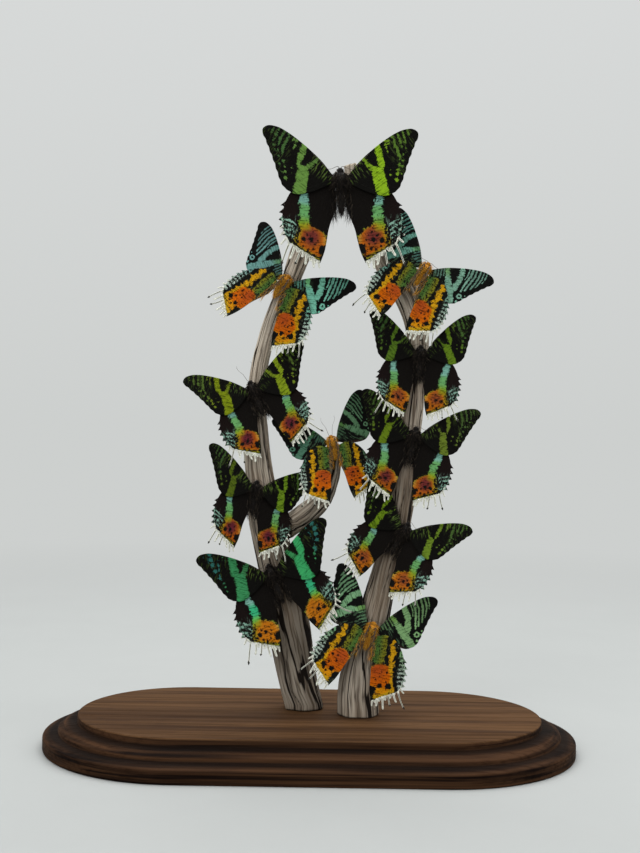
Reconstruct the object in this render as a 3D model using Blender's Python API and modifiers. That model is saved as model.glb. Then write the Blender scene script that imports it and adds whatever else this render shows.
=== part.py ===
"""Mounted moths: eleven set moths fixed on two driftwood trunks over a stepped racetrack board.

Metres, +Z up. The origin is the middle of the board's underside, and the front faces -Y.
"""

import math

import bmesh
import bpy
from mathutils import Matrix, Vector

MM = 0.001
NAME = "mounted_moths"

# Board: a racetrack outline with three routed tiers.
BOARD_WIDTH = 300 * MM
BOARD_DEPTH = 160 * MM
BOARD_HEIGHT = 18.6 * MM
END_SEGMENTS = 18
TOUCH_GAP = 0.3 * MM

# Wings: flat outlines as fractions of the forewing's length.
WING_THICKNESS = 0.5 * MM
FOREWING_ROOT = (0.074, 0.067, 0.020)
HINDWING_ROOT = (0.076, -0.067, -0.018)

# Body: a turned profile, as (place along the body, radius), in fractions of the forewing's length.
BODY_PROFILE = (
    (0.235, 0.000),
    (0.225, 0.020),
    (0.195, 0.034),
    (0.165, 0.034),
    (0.145, 0.028),
    (0.110, 0.052),
    (0.040, 0.062),
    (-0.040, 0.060),
    (-0.110, 0.046),
    (-0.240, 0.048),
    (-0.380, 0.036),
    (-0.460, 0.018),
    (-0.480, 0.000),
)
BODY_SIDES = 9

# The forewing's outline: out along the front edge, then rearwards.
FOREWING_OUTLINE = (
    (0.00, 0.00),
    (0.20, -0.046),
    (0.42, -0.078),
    (0.64, -0.089),
    (0.82, -0.076),
    (0.93, -0.035),
    (1.00, 0.05),
    (0.96, 0.105),
    (0.88, 0.157),
    (0.76, 0.24),
    (0.64, 0.325),
    (0.53, 0.41),
    (0.43, 0.475),
    (0.34, 0.492),
    (0.22, 0.46),
    (0.10, 0.33),
    (0.02, 0.17),
)

# The hindwing's outline, with its three tails.
HINDWING_OUTLINE = (
    (0.00, 0.00),
    (0.20, -0.05),
    (0.38, -0.02),
    (0.48, 0.06),
    (0.55, 0.18),
    (0.59, 0.32),
    (0.595, 0.46),
    (0.565, 0.60),
    (0.52, 0.71),
    (0.545, 1.00),
    (0.51, 1.03),
    (0.46, 0.765),
    (0.40, 0.80),
    (0.395, 0.99),
    (0.365, 0.99),
    (0.345, 0.825),
    (0.285, 0.85),
    (0.265, 0.965),
    (0.24, 0.965),
    (0.225, 0.88),
    (0.12, 0.92),
    (0.06, 0.80),
    (0.02, 0.60),
    (0.00, 0.40),
    (0.00, 0.20),
)

# One row a moth: which side it shows to the front, the middle of its thorax in millimetres, its
# heading (clockwise from upright, seen from the front), how far its head leans back to the wood, its
# turn about the vertical, the forewing's length in millimetres, then for its own left and right
# wings the forewing's sweep forwards, the hindwing's sweep and the lift of both, all in degrees.
MOTHS = (
    ("back", (12.0, -15.0, 318.0), -2, 7, 4, 47.5, (36, 4, 8), (34, 4, 5)),
    ("belly", (-18.5, -3.5, 263.0), 34, 10, -3, 37.5, (34, 14, 6), (36, 14, 9)),
    ("belly", (60.0, -13.5, 270.0), 31, 8, 0, 36.5, (24, 3, 4), (37, -1, 2)),
    ("back", (-35.0, -7.0, 201.0), -22, 11, 3, 36.5, (29, 3, 7), (25, 3, 2)),
    ("back", (58.5, -10.5, 222.5), 4, 9, 1, 34.5, (38, -1, 9), (42, -2, 9)),
    ("back", (56.0, -11.0, 176.5), 11, 9, -1, 36.0, (31, -1, 8), (33, -2, 9)),
    ("belly", (10.0, -7.5, 172.5), -12, 10, 5, 33.5, (52, -2, 11), (35, 3, 8)),
    ("back", (-32.5, -10.0, 145.0), 14, 12, 29, 35.0, (29, 1, 7), (26, 2, 2)),
    ("back", (51.0, -12.0, 123.5), 29, 10, 0, 35.0, (31, 4, 9), (31, 4, 9)),
    ("back", (-22.5, -8.0, 97.5), -23, 10, 1, 40.0, (35, 4, 9), (25, 8, 8)),
    ("belly", (33.5, -15.0, 68.5), 19, 10, 0, 38.0, (47, 8, 8), (48, 8, 8)),
)

# Driftwood, foot to top: (height, x, y, radius) in millimetres. The first row is below the cut.
LEFT_TRUNK = (
    (10, -1.5, 11.5, 11.7),
    (32, -6.7, 11.3, 12.2),
    (54, -11.0, 11.0, 12.8),
    (82, -15.5, 7.5, 12.8),
    (107, -21.4, 5.5, 11.2),
    (128, -26.6, 4.5, 10.3),
    (150, -30.1, 3.0, 8.2),
    (179, -32.9, 2.0, 6.8),
    (204, -33.4, 2.0, 5.2),
    (227, -29.5, 3.5, 4.6),
    (246, -24.0, 5.0, 4.6),
    (264, -15.5, 5.5, 5.4),
    (281, -9.5, 5.0, 6.8),
    (298, -2.0, 1.0, 5.8),
    (310, 2.0, -2.0, 3.6),
)
RIGHT_TRUNK = (
    (10, 27.0, -1.0, 13.0),
    (36, 27.0, -1.0, 12.6),
    (54, 30.5, -1.0, 11.0),
    (84, 37.2, -1.5, 9.0),
    (106, 42.5, -1.5, 8.2),
    (127, 47.5, -1.5, 8.2),
    (148, 50.3, -1.5, 8.2),
    (170, 52.3, -1.5, 7.3),
    (192, 54.5, -1.0, 7.3),
    (212, 56.5, -1.5, 6.3),
    (234, 58.0, -1.0, 6.2),
    (253, 53.5, 0.0, 8.0),
    (276, 42.0, 1.0, 10.0),
    (300, 29.5, -2.0, 7.6),
    (318, 20.5, -6.0, 5.0),
    (329, 17.3, -8.0, 3.6),
)
BRANCH = (
    (114, -28.0, 5.0, 6.0),
    (123, -15.6, 4.5, 6.6),
    (131, -4.6, 3.5, 6.6),
    (139, 4.6, 2.0, 5.8),
    (149, 9.6, 0.0, 4.4),
    (162, 12.2, -1.5, 3.5),
    (170, 13.6, -2.0, 2.4),
)
# The section of weathered wood, as radii at equal angles round a unit circle.
WOOD_SECTION = (1.00, 0.93, 1.03, 0.90, 0.98, 0.86, 0.93, 0.82, 0.95, 0.84, 0.99, 0.90)
WOOD_TWIST = math.radians(70)
WOOD_STEPS = 3


def new_collection(name, hidden=False):
    """A collection in the scene, with its objects left out of the build if hidden."""
    made = bpy.data.collections.new(name)
    made.hide_render = hidden
    bpy.context.scene.collection.children.link(made)
    return made


def material(name, colour, roughness):
    """A plain Principled material."""
    made = bpy.data.materials.new(name)
    made.use_nodes = True
    shader = made.node_tree.nodes["Principled BSDF"]
    shader.inputs["Base Color"].default_value = (*colour, 1.0)
    shader.inputs["Roughness"].default_value = roughness
    return made


def rounded(points, radius, segments):
    """An open outline with each inner corner replaced by an arc-like curve of the given reach."""
    out = [Vector(points[0])]
    for before, corner, after in zip(points, points[1:], points[2:]):
        before, corner, after = Vector(before), Vector(corner), Vector(after)
        reach = min(radius, (before - corner).length * 0.45, (after - corner).length * 0.45)
        start = corner + (before - corner).normalized() * reach
        end = corner + (after - corner).normalized() * reach
        for step in range(segments + 1):
            t = step / segments
            out.append(start * (1 - t) ** 2 + corner * 2 * t * (1 - t) + end * t**2)
    out.append(Vector(points[-1]))
    return out


def board_profile():
    """The board's half section, from the middle of the top to the middle of the underside."""
    radius = BOARD_DEPTH / 2
    corners = (
        (19.0, 18.6),
        (18.9, 14.4),
        (13.6, 13.9),
        (8.6, 11.6),
        (8.3, 9.3),
        (4.6, 9.0),
        (0.0, 7.6),
        (0.0, 0.0),
    )
    section = [(0.0, BOARD_HEIGHT)]
    section += [(radius - inset * MM, height * MM) for inset, height in corners]
    section.append((0.0, 0.0))
    return rounded(section, 1.1 * MM, 2)


def make_board(collection):
    """The profile spun round one end, drawn along the front, spun round the other and joined."""
    half_straight = (BOARD_WIDTH - BOARD_DEPTH) / 2
    mesh = bmesh.new()
    points = [mesh.verts.new((half_straight, reach, height)) for reach, height in board_profile()]
    rail = [mesh.edges.new(pair) for pair in zip(points, points[1:])]
    sweep = rail
    for centre in (half_straight, -half_straight):
        spun = bmesh.ops.spin(
            mesh,
            geom=sweep,
            cent=(centre, 0, 0),
            axis=(0, 0, -1),
            angle=math.pi,
            steps=END_SEGMENTS,
        )
        edge = [part for part in spun["geom_last"] if isinstance(part, bmesh.types.BMEdge)]
        drawn = bmesh.ops.extrude_edge_only(mesh, edges=edge)["geom"]
        moved = [part for part in drawn if isinstance(part, bmesh.types.BMVert)]
        shift = -2 * centre
        bmesh.ops.translate(mesh, verts=moved, vec=(shift, 0, 0))
        sweep = [part for part in drawn if isinstance(part, bmesh.types.BMEdge) and part.is_boundary]
        sweep = [part for part in sweep if all(corner in moved for corner in part.verts)]
    bmesh.ops.remove_doubles(mesh, verts=mesh.verts, dist=0.01 * MM)
    bmesh.ops.dissolve_degenerate(mesh, edges=mesh.edges, dist=0.005 * MM)
    bmesh.ops.recalc_face_normals(mesh, faces=mesh.faces)
    return add_mesh("base_board", mesh, collection, material("walnut", (0.055, 0.026, 0.014), 0.45))


def add_mesh(name, mesh, collection, finish):
    """An object from a bmesh, shaded smooth up to 35 degrees."""
    data = bpy.data.meshes.new(name)
    mesh.to_mesh(data)
    mesh.free()
    data.shade_smooth()
    data.set_sharp_from_angle(angle=math.radians(35))
    data.materials.append(finish)
    made = bpy.data.objects.new(name, data)
    collection.objects.link(made)
    return made


def wood_section(helpers):
    """The closed curve that the trunks are drawn with."""
    curve = bpy.data.curves.new("wood_section", "CURVE")
    curve.dimensions = "2D"
    curve.fill_mode = "NONE"
    spline = curve.splines.new("POLY")
    spline.points.add(len(WOOD_SECTION) - 1)
    for number, radius in enumerate(WOOD_SECTION):
        angle = 2 * math.pi * number / len(WOOD_SECTION)
        spline.points[number].co = (radius * math.cos(angle), radius * math.sin(angle), 0, 1)
    spline.use_cyclic_u = True
    made = bpy.data.objects.new("wood_section", curve)
    made.hide_render = True
    made.display_type = "WIRE"
    helpers.objects.link(made)
    return made


def wood_mesh(route, section, helpers, extra=0.0):
    """A closed mesh along a route: a curve with a radius and a twist at each of its points."""
    curve = bpy.data.curves.new("wood_route", "CURVE")
    curve.dimensions = "3D"
    curve.bevel_mode = "OBJECT"
    curve.bevel_object = section
    curve.use_fill_caps = True
    curve.twist_mode = "MINIMUM"
    spline = curve.splines.new("BEZIER")
    spline.resolution_u = WOOD_STEPS
    spline.bezier_points.add(len(route) - 1)
    for number, (height, x, y, radius) in enumerate(route):
        point = spline.bezier_points[number]
        point.co = Vector((x, y, height)) * MM
        point.handle_left_type = point.handle_right_type = "AUTO"
        point.radius = radius * MM + extra
        point.tilt = WOOD_TWIST * number / (len(route) - 1)
    guide = bpy.data.objects.new("wood_route", curve)
    helpers.objects.link(guide)
    graph = bpy.context.evaluated_depsgraph_get()
    data = bpy.data.meshes.new_from_object(guide.evaluated_get(graph))
    mesh = bmesh.new()
    mesh.from_mesh(data)
    bpy.data.objects.remove(guide)
    bpy.data.meshes.remove(data)
    bmesh.ops.remove_doubles(mesh, verts=mesh.verts, dist=0.01 * MM)
    bmesh.ops.recalc_face_normals(mesh, faces=mesh.faces)
    return mesh


def cut_foot(mesh):
    """Cuts the wood off level, just above the board."""
    cut = bmesh.ops.bisect_plane(
        mesh,
        geom=mesh.verts[:] + mesh.edges[:] + mesh.faces[:],
        plane_co=(0, 0, BOARD_HEIGHT + TOUCH_GAP),
        plane_no=(0, 0, -1),
        clear_outer=True,
    )
    rim = [part for part in cut["geom_cut"] if isinstance(part, bmesh.types.BMEdge)]
    bmesh.ops.holes_fill(mesh, edges=rim)
    bmesh.ops.recalc_face_normals(mesh, faces=mesh.faces)


def make_driftwood(collection, helpers):
    """The two trunks, and the branch that grows from the left one."""
    grey = material("driftwood", (0.33, 0.29, 0.25), 0.9)
    section = wood_section(helpers)
    for name, route in (("driftwood_left", LEFT_TRUNK), ("driftwood_right", RIGHT_TRUNK)):
        mesh = wood_mesh(route, section, helpers)
        cut_foot(mesh)
        add_mesh(name, mesh, collection, grey)
    branch = add_mesh("driftwood_branch", wood_mesh(BRANCH, section, helpers), collection, grey)
    socket = add_mesh("branch_socket", wood_mesh(LEFT_TRUNK, section, helpers, TOUCH_GAP), helpers, grey)
    socket.hide_render = True
    socket.display_type = "WIRE"
    cut = branch.modifiers.new("meets the trunk", "BOOLEAN")
    cut.operation = "DIFFERENCE"
    cut.solver = "EXACT"
    cut.object = socket


def wing_curve(name, outline, length, side):
    """A flat wing as a 2D curve: side is 1 for the moth's right and -1 for its left."""
    curve = bpy.data.curves.new(name, "CURVE")
    curve.dimensions = "2D"
    curve.fill_mode = "BOTH"
    curve.extrude = WING_THICKNESS / 2
    spline = curve.splines.new("POLY")
    spline.points.add(len(outline) - 1)
    for point, (out, rear) in zip(spline.points, outline):
        point.co = (side * out * length, -rear * length, 0, 1)
    spline.use_cyclic_u = True
    return curve


def make_wing(name, outline, root, length, side, sweep, lift, finish, mount, collection):
    """A wing hung from its root on the thorax."""
    curve = wing_curve(name, outline, length, side)
    curve.materials.append(finish)
    made = bpy.data.objects.new(name, curve)
    out, forward, up = root
    made.location = Vector((side * out, forward, up)) * length
    swing = Matrix.Rotation(-side * math.radians(lift), 4, "Y")
    swing @= Matrix.Rotation(side * math.radians(sweep), 4, "Z")
    made.rotation_euler = swing.to_euler()
    made.parent = mount
    collection.objects.link(made)


def make_body(name, length, finish, mount, collection):
    """Head, thorax and abdomen, turned about the line that the moth faces along."""
    data = bpy.data.meshes.new(name)
    mesh = bmesh.new()
    points = [mesh.verts.new((radius * length, along * length, 0)) for along, radius in BODY_PROFILE]
    for pair in zip(points, points[1:]):
        mesh.edges.new(pair)
    mesh.to_mesh(data)
    mesh.free()
    data.materials.append(finish)
    made = bpy.data.objects.new(name, data)
    turned = made.modifiers.new("turned", "SCREW")
    turned.axis = "Y"
    turned.steps = turned.render_steps = BODY_SIDES
    turned.use_merge_vertices = True
    turned.merge_threshold = 0.01 * MM
    turned.use_normal_calculate = True
    made.parent = mount
    collection.objects.link(made)


def make_moth(number, row, finishes, collection):
    """One moth: an empty at its thorax carries the body and the four wings."""
    shows, place, heading, lean, turn, length, left, right = row
    length *= MM
    name = f"moth_{number:02d}"
    mount = bpy.data.objects.new(name, None)
    spin = Matrix.Rotation(math.radians(turn), 4, "Z")
    spin @= Matrix.Rotation(-math.radians(lean), 4, "X")
    spin @= Matrix.Rotation(math.radians(heading), 4, "Y")
    if shows == "belly":
        spin @= Matrix.Rotation(math.pi, 4, "Z")
    spin @= Matrix.Rotation(math.pi / 2, 4, "X")
    mount.matrix_world = Matrix.Translation(Vector(place) * MM) @ spin
    collection.objects.link(mount)
    body, forewing, hindwing = finishes
    make_body(f"{name}_body", length, body, mount, collection)
    for label, side, (fore, hind, lift) in (("left", -1, left), ("right", 1, right)):
        make_wing(
            f"{name}_forewing_{label}", FOREWING_OUTLINE, FOREWING_ROOT,
            length, side, fore, lift, forewing, mount, collection,
        )
        make_wing(
            f"{name}_hindwing_{label}", HINDWING_OUTLINE, HINDWING_ROOT,
            length, side, hind, lift, hindwing, mount, collection,
        )


def main():
    for thing in list(bpy.data.objects):
        bpy.data.objects.remove(thing)
    parts = new_collection(NAME)
    helpers = new_collection(f"{NAME}_helpers", hidden=True)
    make_board(parts)
    make_driftwood(parts, helpers)
    finishes = (
        material("moth fur", (0.10, 0.055, 0.03), 0.95),
        material("forewing scales", (0.03, 0.09, 0.04), 0.6),
        material("hindwing scales", (0.42, 0.11, 0.02), 0.6),
    )
    for number, row in enumerate(MOTHS, start=1):
        make_moth(number, row, finishes, parts)


main()
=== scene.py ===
"""Mounted moths: eleven set moths on two driftwood trunks over a stepped walnut board."""

import math
import random

import bmesh
import bpy
import numpy as np
from bpy.props import FloatProperty, FloatVectorProperty, IntProperty, PointerProperty
from mathutils import Matrix, Vector, noise
from mathutils.bvhtree import BVHTree


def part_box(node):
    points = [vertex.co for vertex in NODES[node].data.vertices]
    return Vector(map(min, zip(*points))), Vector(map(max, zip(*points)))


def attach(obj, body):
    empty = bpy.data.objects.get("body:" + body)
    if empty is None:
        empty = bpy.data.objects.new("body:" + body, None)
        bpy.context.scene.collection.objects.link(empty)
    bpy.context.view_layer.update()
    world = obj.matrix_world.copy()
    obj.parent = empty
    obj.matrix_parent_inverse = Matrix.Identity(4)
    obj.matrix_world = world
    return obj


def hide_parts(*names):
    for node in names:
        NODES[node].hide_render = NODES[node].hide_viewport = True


bl_info = {
    "name": "Mounted Moths",
    "version": (1, 0, 0),
    "blender": (4, 5, 0),
    "location": "3D View > Sidebar > Moths",
    "description": "Builds set moths, driftwood and a stepped board around a packed frame",
    "category": "Object",
}

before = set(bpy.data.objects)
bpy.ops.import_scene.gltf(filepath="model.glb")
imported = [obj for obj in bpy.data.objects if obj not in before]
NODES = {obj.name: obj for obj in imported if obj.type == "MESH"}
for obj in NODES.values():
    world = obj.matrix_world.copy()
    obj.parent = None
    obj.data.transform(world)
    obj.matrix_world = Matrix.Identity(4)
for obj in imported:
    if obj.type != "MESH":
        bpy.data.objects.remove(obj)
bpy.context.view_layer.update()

MM = 0.001
WOODS = ("driftwood_left", "driftwood_right", "driftwood_branch")
SIDES = (("left", -1), ("right", 1))
RAISED_ANTENNAE = ("moth_04", "moth_07")
EMERALD_MOTH = 10

# Distances in metres, except the two for wings, which are in forewing lengths; then numbers of steps, and the
# seed of the glue's noise, which would start from the clock without one.
SAME_PLACE = 0.00001
SAME_WING_PLACE = 0.0004
WING_SLIVER = 0.0002
FINGER_THICKNESS = 0.00022
BOARD_SLIVER = 0.000005
GLUE_STEPS = 12
GLUE_SEED = 1
CORNER_STEPS = 6
ANTENNA_STEPS = 22
BODY_RINGS = 46
WOOD_SLICES = 40
WOOD_SWELL = 0.0004
FINE_GRAIN = 0.00012
FOOT_SHADOW_HEIGHT = 0.006

# Attributes that hold a vector or a colour, by the last word of their names; the rest hold a number.
VALUE_KINDS = {
    "wing": "FLOAT_VECTOR", "grain": "FLOAT_VECTOR", "tint": "FLOAT_COLOR", "ground": "FLOAT_COLOR",
}
VALUE_FIELDS = {"FLOAT": ("value", ()), "FLOAT_VECTOR": ("vector", (3,)), "FLOAT_COLOR": ("color", (3,))}

# Each moth: the side it shows, the green or teal of its own left and right forewings, how much magenta
# is in its hindwing's orange patch, and how much wider than usual its forewing band is.
LOOKS = {
    1: ("back", (0.098, 0.195, 0.040), (0.190, 0.330, 0.012), 0.85, 0.004),
    2: ("belly", (0.145, 0.40, 0.30), (0.115, 0.25, 0.235), 0.25, 0.004),
    3: ("belly", (0.155, 0.30, 0.225), (0.11, 0.27, 0.22), 0.25, 0.000),
    4: ("back", (0.148, 0.187, 0.007), (0.172, 0.235, 0.011), 1.00, 0.004),
    5: ("back", (0.065, 0.125, 0.012), (0.085, 0.150, 0.010), 0.60, -0.004),
    6: ("back", (0.100, 0.158, 0.009), (0.105, 0.148, 0.018), 0.90, -0.008),
    7: ("belly", (0.08, 0.17, 0.09), (0.06, 0.15, 0.10), 0.25, -0.004),
    8: ("back", (0.070, 0.105, 0.009), (0.130, 0.230, 0.014), 1.00, -0.004),
    9: ("back", (0.112, 0.190, 0.009), (0.110, 0.175, 0.016), 0.55, -0.012),
    10: ("back", (0.034, 0.20, 0.075), (0.036, 0.29, 0.10), 0.12, 0.018),
    11: ("belly", (0.17, 0.31, 0.135), (0.16, 0.32, 0.17), 0.20, 0.002),
}

# Wing coordinates: fractions of the forewing's length, out from the root and rearward.
WING_TIPS = {"forewing": (1.00, 0.05), "hindwing": (0.51, 1.03)}
FOREWING_FRONT = (
    (-0.05, 0.03), (0.20, -0.046), (0.42, -0.078), (0.64, -0.089), (0.82, -0.075), (0.93, -0.033),
    (0.974, 0.010), (0.988, 0.054),
)
FOREWING_REAR = (
    (-0.05, 0.03), (0.01, 0.17), (0.10, 0.33), (0.22, 0.46), (0.34, 0.492), (0.43, 0.475),
    (0.53, 0.41), (0.64, 0.325), (0.76, 0.24), (0.88, 0.160), (0.965, 0.105), (0.988, 0.054),
)
HINDWING_OUTER = (
    (-0.03, -0.08), (0.10, -0.11), (0.26, -0.095), (0.39, -0.035), (0.48, 0.06), (0.55, 0.18), (0.59, 0.32),
    (0.595, 0.46), (0.565, 0.60), (0.515, 0.715),
)
BELLY_HINDWING_OUTER = (
    (0.00, 0.00), (0.16, -0.05), (0.30, -0.01), (0.40, 0.08), (0.47, 0.19), (0.52, 0.32),
    (0.545, 0.46), (0.535, 0.60), (0.500, 0.715),
)
HINDWING_INNER = (
    (0.00, 0.00), (-0.032, 0.12), (-0.030, 0.25), (0.015, 0.40), (0.045, 0.52), (0.060, 0.64),
    (0.082, 0.78), (0.125, 0.915),
)
HINDWING_TEETH = (0.255, 0.345, 0.435, 0.525, 0.605)
TOOTH_HALF = 0.034
TOOTH_SHARE = 0.12
UNMARKED = -1.0
FOREWING_GRID = (96, 40)
HINDWING_GRID = (72, 44)

# Veins, as lines of (out, rear).
FOREWING_VEINS = (
    ((0.0, 0.01), (0.3, -0.03), (0.6, -0.05), (0.9, -0.02)),
    ((0.0, 0.02), (0.25, 0.02), (0.5, 0.02), (0.75, -0.02), (0.97, 0.03)),
    ((0.5, 0.02), (0.70, 0.05), (0.93, 0.11)),
    ((0.5, 0.04), (0.65, 0.12), (0.82, 0.19)),
    ((0.5, 0.07), (0.58, 0.18), (0.72, 0.27)),
    ((0.0, 0.03), (0.25, 0.12), (0.48, 0.09), (0.5, 0.02)),
    ((0.35, 0.115), (0.5, 0.25), (0.6, 0.35)),
    ((0.28, 0.125), (0.4, 0.3), (0.5, 0.43)),
    ((0.2, 0.11), (0.3, 0.33), (0.38, 0.48)),
    ((0.0, 0.05), (0.12, 0.27), (0.24, 0.46)),
)
HINDWING_VEINS = (
    ((0.0, 0.0), (0.25, 0.02), (0.50, 0.10)),
    ((0.0, 0.02), (0.28, 0.12), (0.58, 0.32)),
    ((0.28, 0.12), (0.42, 0.30), (0.59, 0.48)),
    ((0.25, 0.20), (0.40, 0.45), (0.56, 0.61)),
    ((0.25, 0.20), (0.36, 0.50), (0.51, 0.72)),
    ((0.0, 0.04), (0.20, 0.20), (0.30, 0.50), (0.40, 0.80)),
    ((0.12, 0.16), (0.20, 0.50), (0.29, 0.85)),
    ((0.03, 0.10), (0.10, 0.50), (0.20, 0.88)),
)

# Markings are tapering strokes of (out, rear, half width), spots of the same, and closed patches.
FOREWING_BAND = (
    ((0.205, 0.47, 0.070), (0.255, 0.33, 0.068), (0.310, 0.20, 0.062), (0.335, 0.165, 0.045)),
    ((0.315, 0.16, 0.028), (0.292, 0.06, 0.020), (0.275, -0.08, 0.012)),
    ((0.385, 0.165, 0.016), (0.425, 0.11, 0.032), (0.465, 0.01, 0.036), (0.500, -0.10, 0.036)),
)
FOREWING_BARS = (
    ((0.71, -0.08, 0.013), (0.68, 0.04, 0.016), (0.65, 0.14, 0.014), (0.62, 0.20, 0.008)),
    ((0.78, -0.08, 0.009), (0.76, 0.03, 0.012), (0.73, 0.10, 0.008)),
    ((0.85, -0.06, 0.006), (0.83, 0.03, 0.010), (0.80, 0.09, 0.005)),
    ((0.60, -0.09, 0.006), (0.585, -0.01, 0.008), (0.57, 0.04, 0.003)),
    ((0.64, -0.08, 0.007), (0.63, -0.03, 0.006)),
    ((0.90, -0.03, 0.005), (0.89, 0.03, 0.007)),
)
FOREWING_SPOTS = (
    (0.575, 0.25, 0.020), (0.525, 0.29, 0.017), (0.49, 0.325, 0.019), (0.44, 0.38, 0.020),
    (0.69, 0.17, 0.012), (0.64, 0.23, 0.012), (0.59, 0.29, 0.010), (0.53, 0.35, 0.010),
    (0.41, 0.29, 0.009), (0.45, 0.24, 0.009), (0.77, 0.13, 0.009), (0.72, 0.18, 0.008),
)
TEAL_SPOTS = (
    (0.78, 0.02, 0.030), (0.745, 0.09, 0.028), (0.70, 0.16, 0.026), (0.60, 0.22, 0.024),
    (0.53, 0.28, 0.018), (0.81, -0.05, 0.020),
)
UNDER_BAND = (
    ((0.245, -0.09, 0.028), (0.265, 0.05, 0.031), (0.29, 0.15, 0.048), (0.31, 0.27, 0.060),
     (0.325, 0.38, 0.058), (0.335, 0.52, 0.056)),
    ((0.480, -0.11, 0.036), (0.475, 0.03, 0.043), (0.45, 0.12, 0.044), (0.42, 0.19, 0.043),
     (0.385, 0.25, 0.036)),
    ((0.645, -0.10, 0.014), (0.62, 0.02, 0.017), (0.575, 0.13, 0.015), (0.50, 0.28, 0.010)),
    ((0.700, -0.10, 0.010), (0.67, 0.05, 0.013), (0.62, 0.16, 0.012), (0.56, 0.26, 0.010)),
    ((0.765, -0.09, 0.013), (0.73, 0.05, 0.014), (0.69, 0.15, 0.012), (0.64, 0.23, 0.010)),
    ((0.820, -0.08, 0.009), (0.79, 0.05, 0.012), (0.75, 0.13, 0.010), (0.71, 0.19, 0.006)),
    ((0.870, -0.06, 0.007), (0.845, 0.03, 0.010), (0.81, 0.10, 0.006)),
    ((0.595, -0.10, 0.006), (0.575, 0.02, 0.009), (0.54, 0.10, 0.005)),
    ((0.06, -0.02, 0.010), (0.065, 0.06, 0.008)),
    ((0.105, -0.04, 0.011), (0.11, 0.09, 0.010)),
    ((0.15, -0.05, 0.011), (0.155, 0.11, 0.009)),
    ((0.195, -0.055, 0.009), (0.205, 0.07, 0.009)),
)
UNDER_SPOTS = ((0.475, 0.365, 0.044), (0.53, 0.40, 0.016), (0.43, 0.45, 0.018), (0.57, 0.35, 0.011))
UNDER_EYES = ((0.475, 0.365, 0.019),)
HIND_BAND = ((
    (0.370, 0.06, 0.036), (0.362, 0.18, 0.040), (0.335, 0.30, 0.054), (0.325, 0.42, 0.056),
    (0.340, 0.51, 0.060),
),)
HIND_PATCH = (
    (0.20, 0.50), (0.29, 0.47), (0.40, 0.50), (0.43, 0.60), (0.47, 0.68), (0.45, 0.75), (0.38, 0.81),
    (0.26, 0.86), (0.14, 0.89), (0.115, 0.84), (0.10, 0.74), (0.065, 0.70), (0.065, 0.62), (0.12, 0.55),
)
HIND_PALE = (
    ((0.43, 0.50, 0.005), (0.50, 0.455, 0.010), (0.57, 0.43, 0.006)),
    ((0.43, 0.555, 0.005), (0.51, 0.51, 0.013), (0.59, 0.49, 0.008)),
    ((0.45, 0.605, 0.006), (0.52, 0.57, 0.013), (0.59, 0.56, 0.008)),
    ((0.46, 0.655, 0.006), (0.52, 0.63, 0.011), (0.565, 0.62, 0.006)),
    ((0.60, 0.40, 0.004), (0.595, 0.52, 0.007), (0.565, 0.62, 0.008)),
)
HIND_DARK_LINES = (
    ((0.11, 0.86, 0.015), (0.25, 0.825, 0.012), (0.38, 0.765, 0.013), (0.47, 0.69, 0.013)),
    ((0.11, 0.915, 0.012), (0.26, 0.875, 0.009), (0.40, 0.805, 0.008), (0.5, 0.72, 0.009)),
    ((0.385, 0.56, 0.016), (0.42, 0.62, 0.018)),
    ((0.05, 0.720, 0.022), (0.12, 0.735, 0.034), (0.13, 0.79, 0.030)),
)
HIND_DARK_SPOTS = (
    (0.255, 0.655, 0.032), (0.345, 0.665, 0.033), (0.30, 0.605, 0.017), (0.20, 0.70, 0.018),
    (0.22, 0.765, 0.021), (0.28, 0.775, 0.018), (0.185, 0.60, 0.014), (0.33, 0.74, 0.018),
    (0.40, 0.70, 0.019), (0.24, 0.56, 0.012), (0.17, 0.66, 0.012), (0.41, 0.61, 0.018),
    (0.435, 0.665, 0.014), (0.39, 0.545, 0.013), (0.27, 0.70, 0.010), (0.31, 0.815, 0.011),
    (0.24, 0.83, 0.010), (0.36, 0.785, 0.010),
)
UNDER_OLIVE = (
    (0.02, -0.02), (0.10, -0.05), (0.20, -0.06), (0.205, 0.10), (0.20, 0.33), (0.12, 0.37), (0.04, 0.34),
)
UNDER_GOLD = ((
    (0.300, 0.04, 0.030), (0.302, 0.18, 0.050), (0.320, 0.32, 0.050), (0.335, 0.48, 0.050),
    (0.350, 0.62, 0.050), (0.385, 0.71, 0.052), (0.31, 0.79, 0.050), (0.19, 0.845, 0.036),
),)
UNDER_ORANGE = (
    (0.05, 0.42), (0.11, 0.37), (0.20, 0.36), (0.30, 0.39), (0.35, 0.52), (0.35, 0.64), (0.33, 0.75),
    (0.24, 0.80), (0.16, 0.80), (0.10, 0.70), (0.04, 0.68), (0.03, 0.55),
)
UNDER_PALE = (
    (0.42, 0.09), (0.50, 0.17), (0.56, 0.30), (0.60, 0.46), (0.58, 0.62), (0.53, 0.73), (0.48, 0.74),
    (0.46, 0.66), (0.445, 0.50), (0.435, 0.30), (0.41, 0.16),
)
UNDER_DARK_LINES = (
    ((0.215, -0.02, 0.010), (0.222, 0.15, 0.009), (0.225, 0.30, 0.010), (0.255, 0.36, 0.008)),
    ((0.13, 0.895, 0.007), (0.26, 0.865, 0.006), (0.38, 0.805, 0.007), (0.48, 0.735, 0.009)),
    ((0.07, 0.715, 0.026), (0.125, 0.735, 0.038), (0.11, 0.785, 0.028)),
) + tuple(
    tuple((out, rear + 0.062 * row, half) for out, rear, half in (
        (0.440, 0.115, 0.014), (0.50, 0.098, 0.016), (0.56, 0.10, 0.007),
    ))
    for row in range(10)
)
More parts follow.
